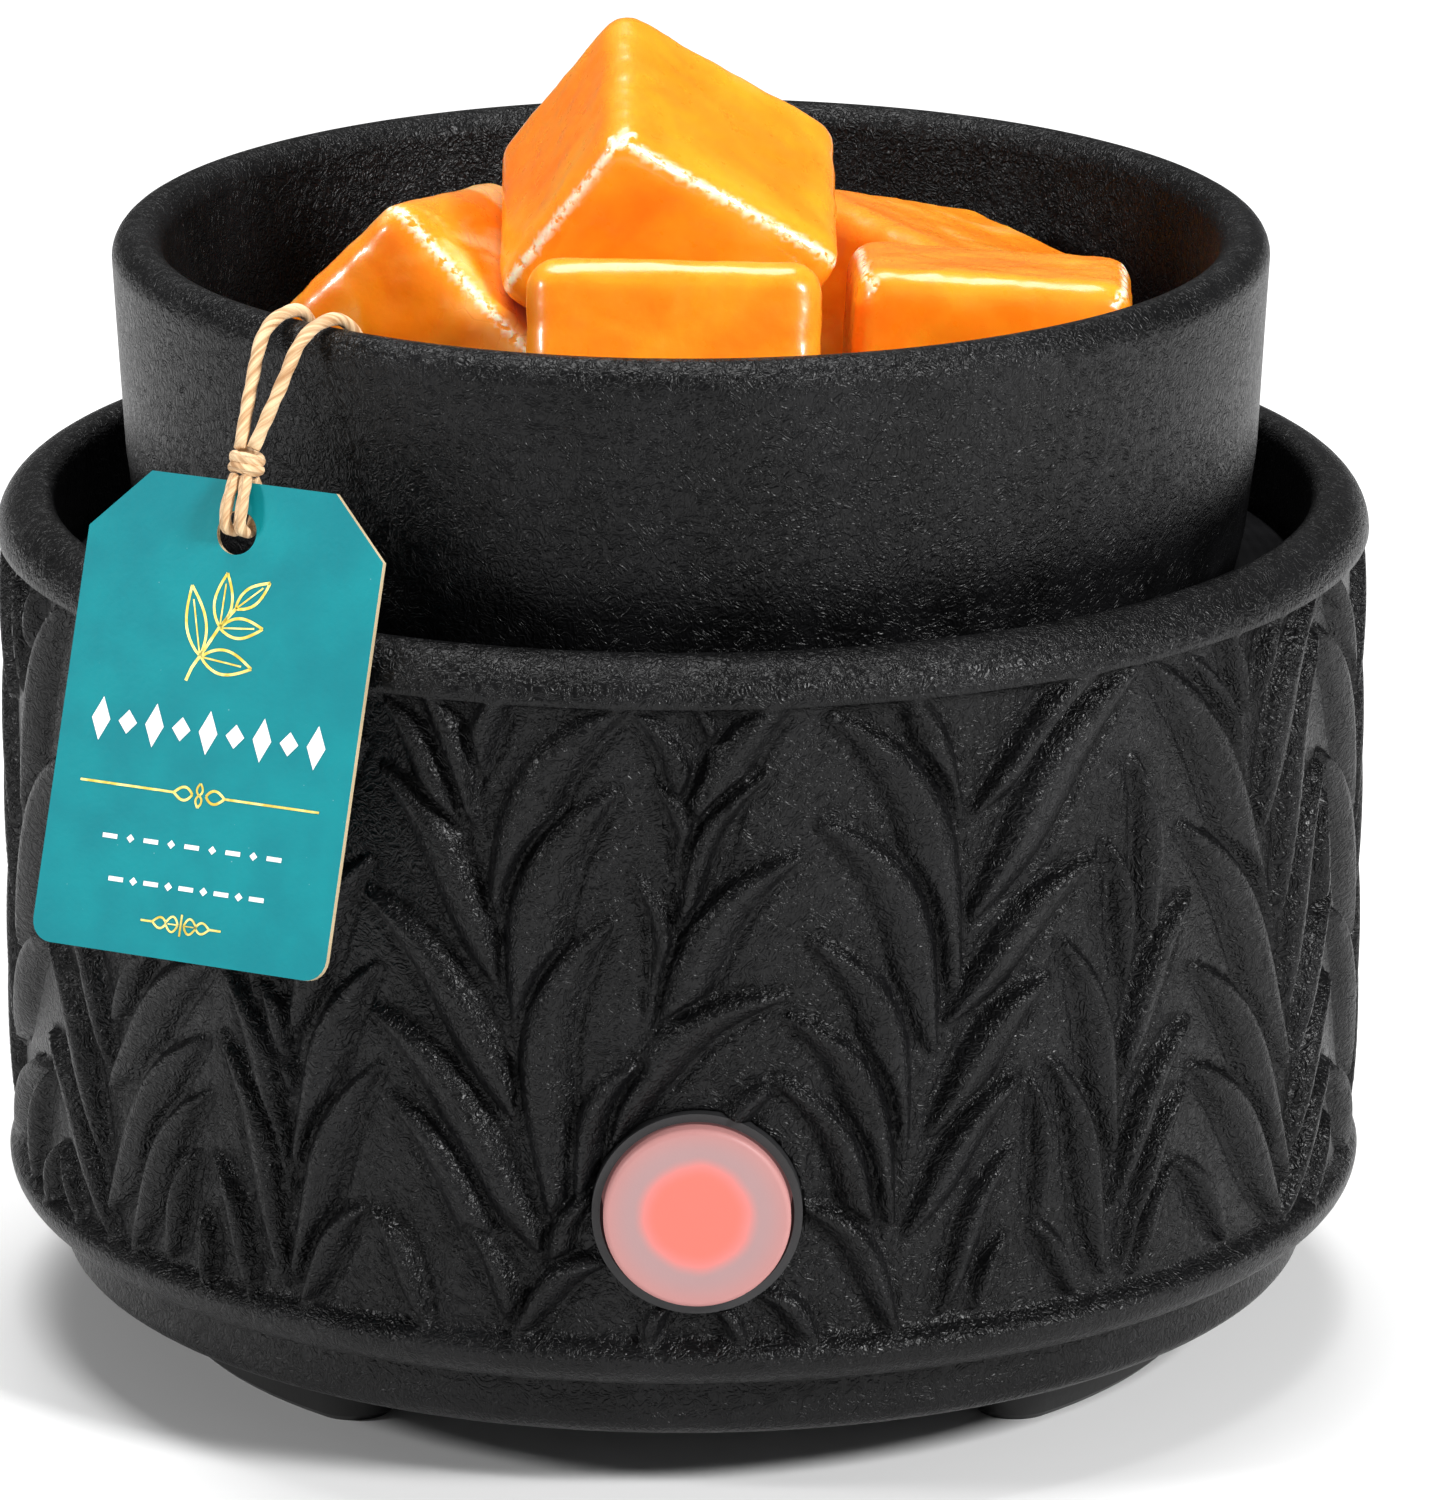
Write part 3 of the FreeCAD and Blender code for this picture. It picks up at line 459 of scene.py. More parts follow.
LEAF_TOP = 78.0              # heights between which the leaves lie, in millimetres
LEAF_FOOT = 16.2
GROOVE = 2.5 * MM
GROUND = 0.3                 # height of the bare ground between leaves, as a share of the groove
LEAF_GAP = 0.6               # width of the groove round each leaf, in millimetres
BODY_COLUMNS = 1120
BACK_START = 84.0            # beyond this angle each side, the fans repeat evenly
BACK_FANS = 7
LEAF_PITCH = 10.5
LEAF_DROP = 21.0


def back_leaves():
    """Even fans of leaves round the part of the base that the front's leaves leave bare."""
    leaves = []
    span = (360.0 - 2 * BACK_START) / BACK_FANS
    for fan in range(BACK_FANS):
        valley = BACK_START + span * fan
        peak = valley + span / 2
        for side in (-1, 1):
            for step in range(8):
                tip = LEAF_TOP + 5 - LEAF_PITCH * step - (3.0 if (fan + step) % 2 else 0.0)
                tail = tip - LEAF_DROP
                reach = span / 2
                if tail < LEAF_FOOT:
                    reach *= (tip - LEAF_FOOT) / LEAF_DROP
                    tail = LEAF_FOOT
                if tip > LEAF_FOOT + 4:
                    sway = 0.8 * math.sin(2.3 * fan + 1.7 * step)
                    leaves.append((peak + sway, min(tip, LEAF_TOP + 1), peak + side * reach, tail,
                                   5.6 if reach > 8 else 3.6))
    return leaves


def leaf_spine(leaf, scale):
    """Points along a leaf that bows upwards between its tip and tail, in millimetres."""
    tip = np.array([leaf[0] * scale, leaf[1]])
    tail = np.array([leaf[2] * scale, leaf[3]])
    along = tail - tip
    aside = np.array([-along[1], along[0]])
    if aside[1] < 0:
        aside = -aside
    t = np.linspace(0, 1, 30)[:, None]
    sweep = 0.12 if abs(leaf[0]) < 17 else 0.05
    bow = sweep * np.sin(np.pi * t ** 0.9) + 0.02 * np.sin(2 * np.pi * t)
    return tip + along * t + aside * bow, t[:, 0], aside / np.linalg.norm(aside)


def leaf_height(across, down, width):
    """Height from 0 to 1 of a plump leaf, and the distance outside its outline in millimetres.

    Across is the signed distance from its spine. The distance outside is negative in the leaf.
    """
    half = width / 2 * np.sin(np.pi * (0.05 + 0.9 * down)) ** 0.7
    crest = 0.28
    share = across / half
    rise = np.where(share > crest, (share - crest) / (1 - crest), (crest - share) / (1 + crest))
    plump = np.clip(1 - np.abs(rise) ** 2, 0, 1)
    return plump * (0.78 + 0.22 * np.sin(np.pi * down)), np.abs(across) - half


def leaf_patch(leaf, angles, z, scale):
    """The part of the grid near a leaf, its height there, and how far outside it each place is."""
    spine, down, aside = leaf_spine(leaf, scale)
    margin = leaf[4]
    rows = np.where((z > spine[:, 1].min() - margin) & (z < spine[:, 1].max() + margin))[0]
    middle = (leaf[0] + leaf[2]) / 2
    turned = (angles - middle + 180) % 360 - 180 + middle
    reach = abs(leaf[0] - leaf[2]) / 2 + (margin + 3) / scale
    columns = np.where(np.abs(turned - middle) < reach)[0]
    grid = np.stack(np.meshgrid(turned[columns] * scale, z[rows]), axis=-1)
    apart = grid[:, :, None, :] - spine[None, None]
    distance = np.linalg.norm(apart, axis=-1)
    nearest = distance.argmin(axis=-1)
    offset = np.take_along_axis(apart, nearest[:, :, None, None], axis=2)[:, :, 0]
    across = np.sign(offset @ aside) * distance.min(axis=-1)
    height, outside = leaf_height(across, down[nearest], leaf[4])
    return np.ix_(rows, columns), height, outside


def relief_map(angles, heights):
    """Depth in metres under the body's radius over a grid of heights and angles."""
    scale = math.radians(1.0) * BODY_RADIUS / MM
    z = heights / MM
    raised = np.full((len(z), len(angles)), GROUND)
    leaves = CENTRE_LEAVES + RIGHT_LEAVES + LEFT_LEAVES + back_leaves()
    leaves.sort(key=lambda leaf: -leaf[1] - leaf[3])
    for leaf in leaves:
        patch, height, outside = leaf_patch(leaf, angles, z, scale)
        under = np.minimum(raised[patch], np.clip(outside / LEAF_GAP, 0, 1))
        raised[patch] = np.where(outside > 0, under, height)
    bands = smooth_rise(z, 75.0, LEAF_TOP + 1.5) + smooth_rise(-z, -18.6, -LEAF_FOOT)
    raised = np.maximum(raised, bands[:, None] * 0.96)
    around = np.roll(raised, 1, axis=1) + np.roll(raised, -1, axis=1)
    raised[1:-1] = (raised * 4 + around)[1:-1] / 8 + (raised[2:] + raised[:-2]) / 8
    return GROOVE * (1 - raised)


def smooth_rise(values, start, end):
    t = np.clip((values - start) / (end - start), 0, 1)
    return t * t * (3 - 2 * t)


def body_outline():
    """Outline (r, z) of the base's shell in metres, and which of its points carry leaves."""
    wall, rim, ring = BODY_RADIUS, 2.8 * MM, 60.3 * MM
    ring_round, skirt, shoulder, lip = 2.1 * MM, 3.3 * MM, 4.1 * MM, 1.54 * MM
    recess, floor, ledge, mouth = wall - 2 * rim, 70.4 * MM, 66.2 * MM, 49.0 * MM
    cavity, overhang, slope = wall - 4.7 * MM, 12.8 * MM, 3 * MM
    inner, step, seat = 54.3 * MM, 9.1 * MM, 50.3 * MM
    cavity_foot, seat_top, seat_slope = 16.1 * MM, 14.6 * MM, 1.5 * MM
    top = BODY_TOP - shoulder
    foot = overhang + skirt
    leafy = line((wall, foot), (wall, top), 150)
    points = [(inner, RING_BOTTOM)] + line((inner, RING_BOTTOM), (ring, RING_BOTTOM), 2)
    points += arc(ring - ring_round, RING_BOTTOM + ring_round, ring_round, -90, 0, 7)
    points += line((ring, RING_BOTTOM + ring_round), (ring, overhang), 5)
    points += [(ring, overhang)] + line((ring, overhang), (wall - skirt, overhang), 2)
    points += arc(wall - skirt, foot, skirt, -90, 0, 12)
    start = len(points)
    points += leafy
    end = len(points)
    points += arc(wall - shoulder, top, shoulder, 0, 84, 12)
    points += arc(recess + lip, BODY_TOP - lip, lip, 92, 180, 8)
    points += line((recess, BODY_TOP - lip), (recess, floor), 6)
    points += [(recess, floor), (mouth, floor), (mouth, ledge), (cavity - slope, ledge),
               (cavity, ledge - slope)]
    points += line((cavity, ledge - slope), (cavity, cavity_foot), 6)
    points += [(cavity, cavity_foot), (cavity - seat_slope, seat_top), (seat, seat_top),
               (seat, step), (inner, step)]
    return np.array(points), start, end


def pierced(shell, cutters):
    """The shell with each cutter's shape taken out of it, settled into its mesh."""
    for cutter in cutters:
        cut = shell.modifiers.new("cut", "BOOLEAN")
        cut.operation = "DIFFERENCE"
        cut.solver = "MANIFOLD"
        cut.object = cutter
    settle(shell)
    for cutter in cutters:
        bpy.data.objects.remove(cutter)


def drill(radius, x, z, start, end):
    """Cylinder along Y, to cut with."""
    form = bmesh.new()
    turn = Matrix.Rotation(math.radians(90), 4, "X")
    place = Matrix.Translation((x, (start + end) / 2, z)) @ turn
    bmesh.ops.create_cone(form, cap_ends=True, segments=96, radius1=radius, radius2=radius,
                          depth=abs(end - start), matrix=place)
    mesh = bpy.data.meshes.new("drill")
    form.to_mesh(mesh)
    return placed("drill", mesh)


SLEEVE_HOLE = 9.6 * MM           # radii of the holes for the button's sleeve and the cord gland
SLEEVE_RECESS = 12.7 * MM
GLAND_HOLE = 5.6 * MM
GLAND_SEAT = 8.5 * MM
GLAND_HEIGHT = 27 * MM
SLEEVE_SHOULDER = 61.3 * MM      # distances from the base's axis where those holes widen
GLAND_SHOULDER = 64.55 * MM
INSIDE = 45 * MM                 # distances where the cuts end, clear of the wall
OUTSIDE = 75 * MM


def leafy_body(glaze):
    """The base's shell with its leaves, its button hole and its gland hole."""
    outline, start, end = body_outline()
    angles = np.linspace(0, 360, BODY_COLUMNS, endpoint=False)
    turn = np.radians(angles)
    radii = np.repeat(outline[:, :1], BODY_COLUMNS, axis=1)
    heights = outline[start:end, 1]
    radii[start:end] -= relief_map(angles, heights)
    x = radii * np.sin(turn)
    y = -radii * np.cos(turn)
    z = np.repeat(outline[:, 1:], BODY_COLUMNS, axis=1)
    vertices = np.stack([x, y, z], axis=-1).reshape(-1, 3)
    faces = tube_faces(len(outline), BODY_COLUMNS, True)
    body = piece("leafy_body", vertices.tolist(), faces, glaze, "base",
                 ["base_shell"])
    pierced(body, [drill(SLEEVE_HOLE, BUTTON.x, BUTTON.z, -OUTSIDE, -INSIDE),
                   drill(SLEEVE_RECESS, BUTTON.x, BUTTON.z, -SLEEVE_SHOULDER, -INSIDE),
                   drill(GLAND_HOLE, 0, GLAND_HEIGHT, INSIDE, OUTSIDE),
                   drill(GLAND_SEAT, 0, GLAND_HEIGHT, GLAND_SHOULDER, OUTSIDE)])
    shade(body.data, True)
    return body


# ---- dish ----------------------------------------------------------------------------------------

def dish_outline():
    """Closed outline of the dish in its own (r, z), from the middle of its underside round."""
    wall, foot = 4.9 * MM, DISH_BOTTOM
    mouth = RIM_TOP - wall / 2
    base, belly = 52.2 * MM, 53.8 * MM
    rise, tall = 13 * MM, mouth - foot
    foot_round, inner_round = 2.5 * MM, 9 * MM
    points = [(0.0, foot)] + line((0, foot), (base - foot_round, foot), 8)
    points += arc(base - foot_round, foot + foot_round, foot_round, -90, -8, 8)
    for t in np.linspace(0.15, 1, 44):
        climb = t * tall
        share = climb / rise
        radius = base + (belly - base) * min(share, 1.0)
        if share > 1:
            radius = belly + (DISH_RADIUS - belly) * (climb - rise) / (tall - rise)
        points.append((radius, foot + climb))
    points += arc(DISH_RADIUS - wall / 2, mouth, wall / 2, 8, 180, 16)
    floor = foot + 4.5 * MM
    inner = DISH_RADIUS - wall
    points += line((inner, mouth), (base - wall, floor + inner_round), 16)
    points += arc(base - wall - inner_round, floor + inner_round, inner_round, 0, -90, 12)
    points += line((base - wall - inner_round, floor), (0, floor), 8) + [(0.0, floor)]
    return points


def glazed_dish(glaze):
    """The dish as thrown and glazed: the wall wanders by a few hundredths of a millimetre."""
    outline = dish_outline()
    columns = 240
    vertices = []
    for radius, height in outline:
        for j in range(columns):
            turn = 2 * math.pi * j / columns
            spot = Vector((radius * math.sin(turn), -radius * math.cos(turn), height))
            wander = 0.09 * MM * (noise.noise(spot * 55) - 0.6)
            grown = max(radius + wander, 0.0) if radius > 0.03 else radius
            vertices.append((DISH_X + grown * math.sin(turn), -grown * math.cos(turn), height))
    faces = tube_faces(len(outline), columns, False)
    dish = piece("glazed_dish", vertices, faces, glaze, "dish", ["wax_dish"])
    weld(dish)
    return dish


def weld(thing):
    form = bmesh.new()
    form.from_mesh(thing.data)
    bmesh.ops.remove_doubles(form, verts=form.verts, dist=1e-6)
    bmesh.ops.recalc_face_normals(form, faces=form.faces)
    form.to_mesh(thing.data)
    form.free()


# ---- wax blocks ----------------------------------------------------------------------------------

WAX_GRID = 0.62 * MM
EDGE_REACH = 2.2 * MM      # how far an edge's painted pale glow and painted highlight spread


def flat_sides(mesh):
    """The six flat sides of a block as (outward normal, distance), the largest first."""
    groups = []
    for face in mesh.polygons:
        for group in groups:
            if group[0].dot(face.normal) > 0.9995:
                group[1] += face.area
                break
        else:
            groups.append([face.normal.copy(), face.area, face.center.copy()])
    groups.sort(key=lambda group: -group[1])
    return [(normal, normal.dot(point)) for normal, area, point in groups[:6]]


def wax_piece(name, body, material, scuff_and_glint_edges):
    """A cast block: its faces sink a little, its edges are soft and painted paler, and some carry a
    painted highlight broken like rubbed chips.
    """
    cast = NODES[name].data.copy()
    sides = flat_sides(cast)
    block = placed(name + "_cast", cast)
    even = block.modifiers.new("even", "REMESH")
    even.mode = "VOXEL"
    even.voxel_size = WAX_GRID
    soft = block.modifiers.new("soft", "SMOOTH")
    soft.factor = 0.5
    soft.iterations = 4
    settle(block)
    mesh = block.data
    shade(mesh, True)
    normals = np.array([normal for normal, _ in sides])
    limits = np.array([limit for _, limit in sides])
    inside = limits - points_of(mesh) @ normals.T
    inside.sort(axis=1)
    # Near 1 at the block's edges, where the finish paints the paler glow of light through thin wax.
    edge = np.exp(-(inside[:, 1] / EDGE_REACH) ** 2)
    for vertex, depth in zip(mesh.vertices, inside):
        sink = 0.22 * MM * min(depth[1] / (9 * MM), 1.0)
        ripple = 0.16 * MM * (noise.noise(vertex.co * 260) + 0.5 * noise.noise(vertex.co * 620))
        vertex.co -= vertex.normal * max(sink + ripple + 0.08 * MM, 0.0)
    paint(mesh, "edge", edge)
    paint(mesh, "scuff_and_glint", scuff_and_glint_marks(mesh, sides, scuff_and_glint_edges))
    mesh.materials.clear()
    mesh.materials.append(material)
    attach(block, body)
    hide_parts(name)
    return block


def scuff_and_glint_marks(mesh, sides, scuff_and_glint_edges):
    """1 along the edges between the named pairs of sides, where a pale highlight is painted, broken
    like rubbed chips.
    """
    marks = np.zeros(len(mesh.vertices))
    places = points_of(mesh)
    for first, second in scuff_and_glint_edges:
        one = pick_side(sides, first)
        other = pick_side(sides, second)
        near = [limit - places @ np.array(normal) for normal, limit in (one, other)]
        apart = np.abs(near[0] - near[1])
        close = (near[0] < EDGE_REACH) & (near[1] < EDGE_REACH)
        marks = np.maximum(marks, close * np.clip(1.6 - apart / (0.5 * MM), 0, 1))
    return marks


def pick_side(sides, towards):
    return max(sides, key=lambda side: side[0].dot(Vector(towards)))


# ---- twine and knot ------------------------------------------------------------------------------

def smooth_line(name, points):
    """A NURBS line through the neighbourhood of its points, and the places along it."""
    curve = bpy.data.curves.new(name, "CURVE")
    curve.dimensions = "3D"
    spline = curve.splines.new("NURBS")
    spline.points.add(len(points) - 1)
    for point, place in zip(spline.points, points):
        point.co = (*place, 1.0)
    spline.order_u = 3
    spline.use_endpoint_u = True
    spline.resolution_u = 16
    holder = placed(name, curve)
    places = [vertex.co.copy() for vertex in worked_out(holder).vertices]
    bpy.data.objects.remove(holder)
    return places


def strand(name, places, radius, body, replaces=(), pitch=5.5 * MM):
    """Two plies of paper twisted together round a line."""
    columns = 18
    vertices, around, along = [], [], []
    travelled = 0.0
    side = (places[1] - places[0]).orthogonal().normalized()
    for i, place in enumerate(places):
        ahead = places[min(i + 1, len(places) - 1)] - places[max(i - 1, 0)]
        ahead.normalize()
        side = (side - ahead * side.dot(ahead)).normalized()
        other = ahead.cross(side)
        if i:
            travelled += (place - places[i - 1]).length
        for j in range(columns):
            turn = 2 * math.pi * j / columns
            twist = 2 * math.pi * travelled / pitch
            ply = 0.86 + 0.14 * abs(math.cos(turn - twist))
            vary = 1 + 0.05 * noise.noise(Vector((turn, travelled * 700, 1.7)))
            reach = radius * ply * vary * 0.97
            vertices.append(place + (side * math.cos(turn) + other * math.sin(turn)) * reach)
            around.append((turn - twist) * 0.5)
            along.append(travelled)
    faces = tube_faces(len(places), columns, False)
    faces.append(tuple(range(columns))[::-1])
    faces.append(tuple(range(len(vertices) - columns, len(vertices))))
    made = piece(name, vertices, faces, PAPER, body, replaces)
    for label, values in (("around", around), ("along", along)):
        paint(made.data, label, values)
    return made


def rim_point(degrees, radius, z):
    """Point by its angle and distance in millimetres from the dish's own axis."""
    turn = math.radians(degrees)
    return Vector((DISH_X + radius * MM * math.sin(turn), -radius * MM * math.cos(turn), z * MM))


def loop_route():
    """From the knot over the dish's rim, down inside it, and back to the knot."""
    return [KNOT + Vector((-0.6, 0.3, 1.2)) * MM, rim_point(-42.3, 59.0, 102.4),
            rim_point(-43.6, 55.9, 107.3), rim_point(-44.2, 49.0, 107.3),
            rim_point(-46.9, 47.6, 95.2), rim_point(-35.4, 47.4, 94.6),
            rim_point(-38.4, 49.0, 107.3), rim_point(-38.6, 55.9, 107.3),
            rim_point(-38.6, 59.4, 102.2), KNOT + Vector((0.6, 0.1, 1.2)) * MM]


def knot_route(across, up, out):
    """An overhand knot: two slanting wraps round the doubled strand and a short end."""
    wide, deep, slant = 1.35 * MM, 0.95 * MM, 0.3
    points = []
    for step in range(15):
        turn = math.radians(200 + 52 * step)
        lift = (0.85 - 0.125 * step) * MM
        spot = KNOT + across * (wide * math.cos(turn)) + out * (deep * math.sin(turn))
        points.append(spot + up * (lift - slant * math.cos(turn) * MM))
    return points


# ---- hang tag ------------------------------------------------------------------------------------

def card_axes():
    """Across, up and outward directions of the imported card, its middle and its size."""
    places = points_of(NODES["hang_tag"].data)
    middle = (places.max(axis=0) + places.min(axis=0)) / 2
    spread = np.linalg.svd(places - places.mean(axis=0), full_matrices=False)[2]
    up, across, out = (Vector(row) for row in spread)
    up = up if up.z > 0 else -up
    across = across if across.x > 0 else -across
    out = out if out.y < 0 else -out
    local = (places - middle) @ np.array([across, up, out]).T
    centre = Vector(middle)
    for column, axis in enumerate((across, up, out)):
        centre += axis * float(local[:, column].max() + local[:, column].min()) / 2
    size = local.max(axis=0) - local.min(axis=0)
    return across, up, out, centre, size


class Card:
    """Places on the tag's face, in millimetres across from its middle and down from its top."""

    def __init__(self):
        self.across, self.up, self.out, self.centre, size = card_axes()
        self.width, self.height, self.thickness = (float(value) for value in size)
        self.top = self.centre + self.up * (self.height / 2)

    def at(self, a, b, proud=0.0):
        return (self.top + self.across * (a * MM) - self.up * (b * MM)
                + self.out * (self.thickness / 2 + proud * MM))


def card_edge(card):
    """Outline of the card: chamfered top corners and rounded bottom ones."""
    half, deep = card.width / 2 / MM, card.height / MM
    chamfer, bend = 5.6, 2.0
    points = [(-half + chamfer, 0), (half - chamfer, 0), (half, chamfer)]
    for corner, start in (((half - bend, deep - bend), 0), ((-half + bend, deep - bend), 90)):
        for degrees in np.linspace(start, start + 90, 7):
            angle = math.radians(degrees)
            points.append((corner[0] + bend * math.cos(angle), corner[1] + bend * math.sin(angle)))
    points.append((-half, chamfer))
    return points


HOLE_RADIUS = 2.0            # of the card's hole, and its drop below the top, in millimetres
HOLE_DROP = 4.6


def tag_card(card, face_finish, edge_finish):
    """The card with its hole, its cut edge showing the tan core."""
    rim = card_edge(card)
    hole = [(HOLE_RADIUS * math.cos(a), HOLE_DROP + HOLE_RADIUS * math.sin(a))
            for a in np.linspace(0, 2 * math.pi, 40, endpoint=False)]
    form = bmesh.new()
    loops = []
    for proud in (0.0, -card.thickness / MM):
        loops.append([[form.verts.new(card.at(a, b, proud)) for a, b in ring]
                      for ring in (rim, hole)])
    for sheet in loops:
        edges = []
        for ring in sheet:
            edges += [form.edges.new((ring[i - 1], ring[i])) for i in range(len(ring))]
        bmesh.ops.triangle_fill(form, edges=edges, use_beauty=True, use_dissolve=True)
    for ring in (0, 1):
        front, back = loops[0][ring], loops[1][ring]
        for i in range(len(front)):
            side = form.faces.new((front[i - 1], front[i], back[i], back[i - 1]))
            side.material_index = 1
    bmesh.ops.recalc_face_normals(form, faces=form.faces)
    mesh = bpy.data.meshes.new("tag_card")
    form.to_mesh(mesh)
    mesh.materials.append(face_finish)
    mesh.materials.append(edge_finish)
    made = placed("tag_card", mesh)
    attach(made, "tag")
    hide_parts("hang_tag")
    return made


class Print:
    """Thin flat shapes laid on the card's face, gathered into one piece."""

    def __init__(self, card, proud):
        self.card = card
        self.proud = proud
        self.vertices = []
        self.faces = []

    def shape(self, points):
        start = len(self.vertices)
        self.vertices += [self.card.at(a, b, self.proud) for a, b in points]
        self.faces.append(tuple(range(start, start + len(points))))

    def stroke(self, points, width):
        """A line of even width through some places."""
        places = np.array(points, float)
        ahead = np.gradient(places, axis=0)
        aside = np.stack([-ahead[:, 1], ahead[:, 0]], axis=1)
        aside /= np.linalg.norm(aside, axis=1)[:, None]
        left, right = places + aside * width / 2, places - aside * width / 2
        for i in range(len(places) - 1):
            self.shape([left[i], left[i + 1], right[i + 1], right[i]])

    def leaf(self, base, tip, width, line_width, vein=True):
        """Outline of a leaf from its base to its tip, with its middle vein."""
        base, tip = np.array(base, float), np.array(tip, float)
        along = tip - base
        aside = np.array([-along[1], along[0]]) / np.linalg.norm(along)
        t = np.linspace(0, 1, 13)[:, None]
        bow = np.sin(np.pi * t ** 0.85) * width / 2
        self.stroke(base + along * t + aside * bow, line_width)
        self.stroke(base + along * t - aside * bow, line_width)
        if vein:
            self.stroke(base + along * t * 0.8, line_width * 0.6)

    def lozenge(self, a, b, wide, tall):
        self.shape([(a - wide / 2, b), (a, b - tall / 2), (a + wide / 2, b), (a, b + tall / 2)])

    def finish(self, name, material):
        made = piece(name, self.vertices, self.faces, material, "tag")
        shade(made.data, False)
        return made


def gold_print(card, foil):
    """A sprig of five leaves and two dividers."""
    gold = Print(card, 0.03)
    stem = [(-3.0, 18.4), (-2.6, 17.2), (-1.9, 16.0), (-0.35, 13.2), (1.0, 11.4)]
    gold.stroke(stem, 0.3)
    for base, tip, width in (((-1.95, 16.0), (-3.7, 9.8), 2.0), ((-0.35, 13.2), (-0.3, 8.3), 1.8),
                             ((1.0, 11.4), (4.1, 8.7), 1.6), ((-0.3, 13.3), (4.0, 12.9), 1.8),
                             ((-1.8, 16.1), (3.4, 16.6), 2.2)):
        gold.leaf(base, tip, width, 0.26)
    middle = 28.5
    for side in (-1, 1):
        gold.stroke([(side * 2.6, middle), (side * 12.2, middle)], 0.22)
        gold.leaf((side * 0.7, middle), (side * 2.6, middle), 1.2, 0.24, False)
        gold.leaf((0, middle), (0, middle + side * 1.1), 0.6, 0.2, False)
    low_row = 40.3
    for side in (-1, 1):
        gold.leaf((side * 0.3, low_row), (side * 1.6, low_row), 1.4, 0.2)
        gold.leaf((side * 1.5, low_row), (side * 2.9, low_row), 1.0, 0.2, False)
        gold.stroke([(side * 2.9, low_row), (side * 4.1, low_row)], 0.2)
        gold.stroke([(0, low_row), (0, low_row + side * 1.0)], 0.2)
    return gold.finish("tag_gold_print", foil)


def white_print(card, ink):
    """Plain lozenges and dashes where such a tag carries its words."""
    white = Print(card, 0.03)
    for k in range(-4, 5):
        tall = 4.0 if k % 2 == 0 else 2.2
        white.lozenge(k * 2.75, 22.8, 1.9, tall)
    for row, reach in ((33.2, 8.4), (37.0, 7.2)):
        for k in range(-4, 5):
            a = reach * k / 4
            if k % 2:
                white.lozenge(a, row, 0.8, 0.8)
            else:
                white.stroke([(a - 0.75, row), (a + 0.75, row)], 0.42)
    return white.finish("tag_white_print", ink)


def tag_hoops(card):
    """The doubled twine through the card's hole, up to the knot on both sides of the card."""
    for label, side in (("left", -1), ("right", 1)):
        shift = side * 0.72
        start = KNOT + card.across * (side * 0.55 * MM) - card.up * (1.4 * MM) + card.out * 0.7 * MM
        route = [start, card.at(shift, 1.2, 1.1), card.at(shift * 1.1, 3.2, 1.25),
                 card.at(shift, 4.3, 0.85), card.at(shift, 4.45, -0.3), card.at(shift, 4.3, -1.5),
                 card.at(shift, 2.6, -1.75), card.at(shift, 0.4, -1.6)]
        end = KNOT + card.across * (side * 0.5 * MM) - card.up * (1.4 * MM) - card.out * 0.9 * MM
        places = smooth_line("hoop_route", route + [end])
        strand("tag_hoop_" + label, places, 0.6 * MM, "tag",
               ["tag_loop"] if side < 0 else (), pitch=4.6 * MM)


# ---- the finishes and pieces of this warmer ------------------------------------------------------

PAPER = twine_finish()


def dress_packed_parts():
    dress(metal("dark_anodised", (0.035, 0.035, 0.038), 0.32, rings=260.0), "hot_plate")
    dress(moulded("seal_silicone", (0.03, 0.03, 0.03), 0.6), "plate_seal")
    dress(moulded("fired_alumina", (0.8, 0.78, 0.72), 0.55, 0.6), "heater_disc")
    dress(woven_mat(), "heater_insulator")
    dress(metal("bright_zinc", (0.62, 0.62, 0.6), 0.3), "heater_cup", "heater_nuts", "fuse_clip",
          "tie_rods", "tie_studs", "cover_screws", "board_bracket", "board_screws",
          "terminal_screws")
    dress(metal("tinned_case", (0.7, 0.66, 0.58), 0.25), "thermal_fuse")
    dress(moulded("base_plastic", (0.012, 0.012, 0.013), 0.5), "bottom_cover", "button_sleeve")
    dress(moulded("foot_rubber_skin", (0.008, 0.008, 0.008), 0.42, 0.5), "foot_front_left",
          "foot_front_right", "foot_rear")
    dress(painted_glow_cap_finish(), "button_cap")
    dress(moulded("switch_plastic", (0.02, 0.02, 0.022), 0.45), "tact_switch", "board_parts")
    dress(moulded("white_nylon", (0.82, 0.82, 0.78), 0.4), "switch_plunger", "terminal_block")
    dress(moulded("red_epoxy", (0.75, 0.03, 0.02), 0.15, 0.8), "indicator_lamp")
    dress(board_finish(), "circuit_board")
    dress(moulded("black_nylon", (0.018, 0.018, 0.018), 0.4), "cord_gland", "gland_lock_nut")
    dress(moulded("blue_silicone", (0.03, 0.08, 0.4), 0.45), "wire_neutral")
    dress(moulded("brown_silicone", (0.13, 0.05, 0.02), 0.45), "wire_live")
    dress(moulded("white_silicone", (0.8, 0.78, 0.74), 0.45), "wire_switched", "wire_heater")


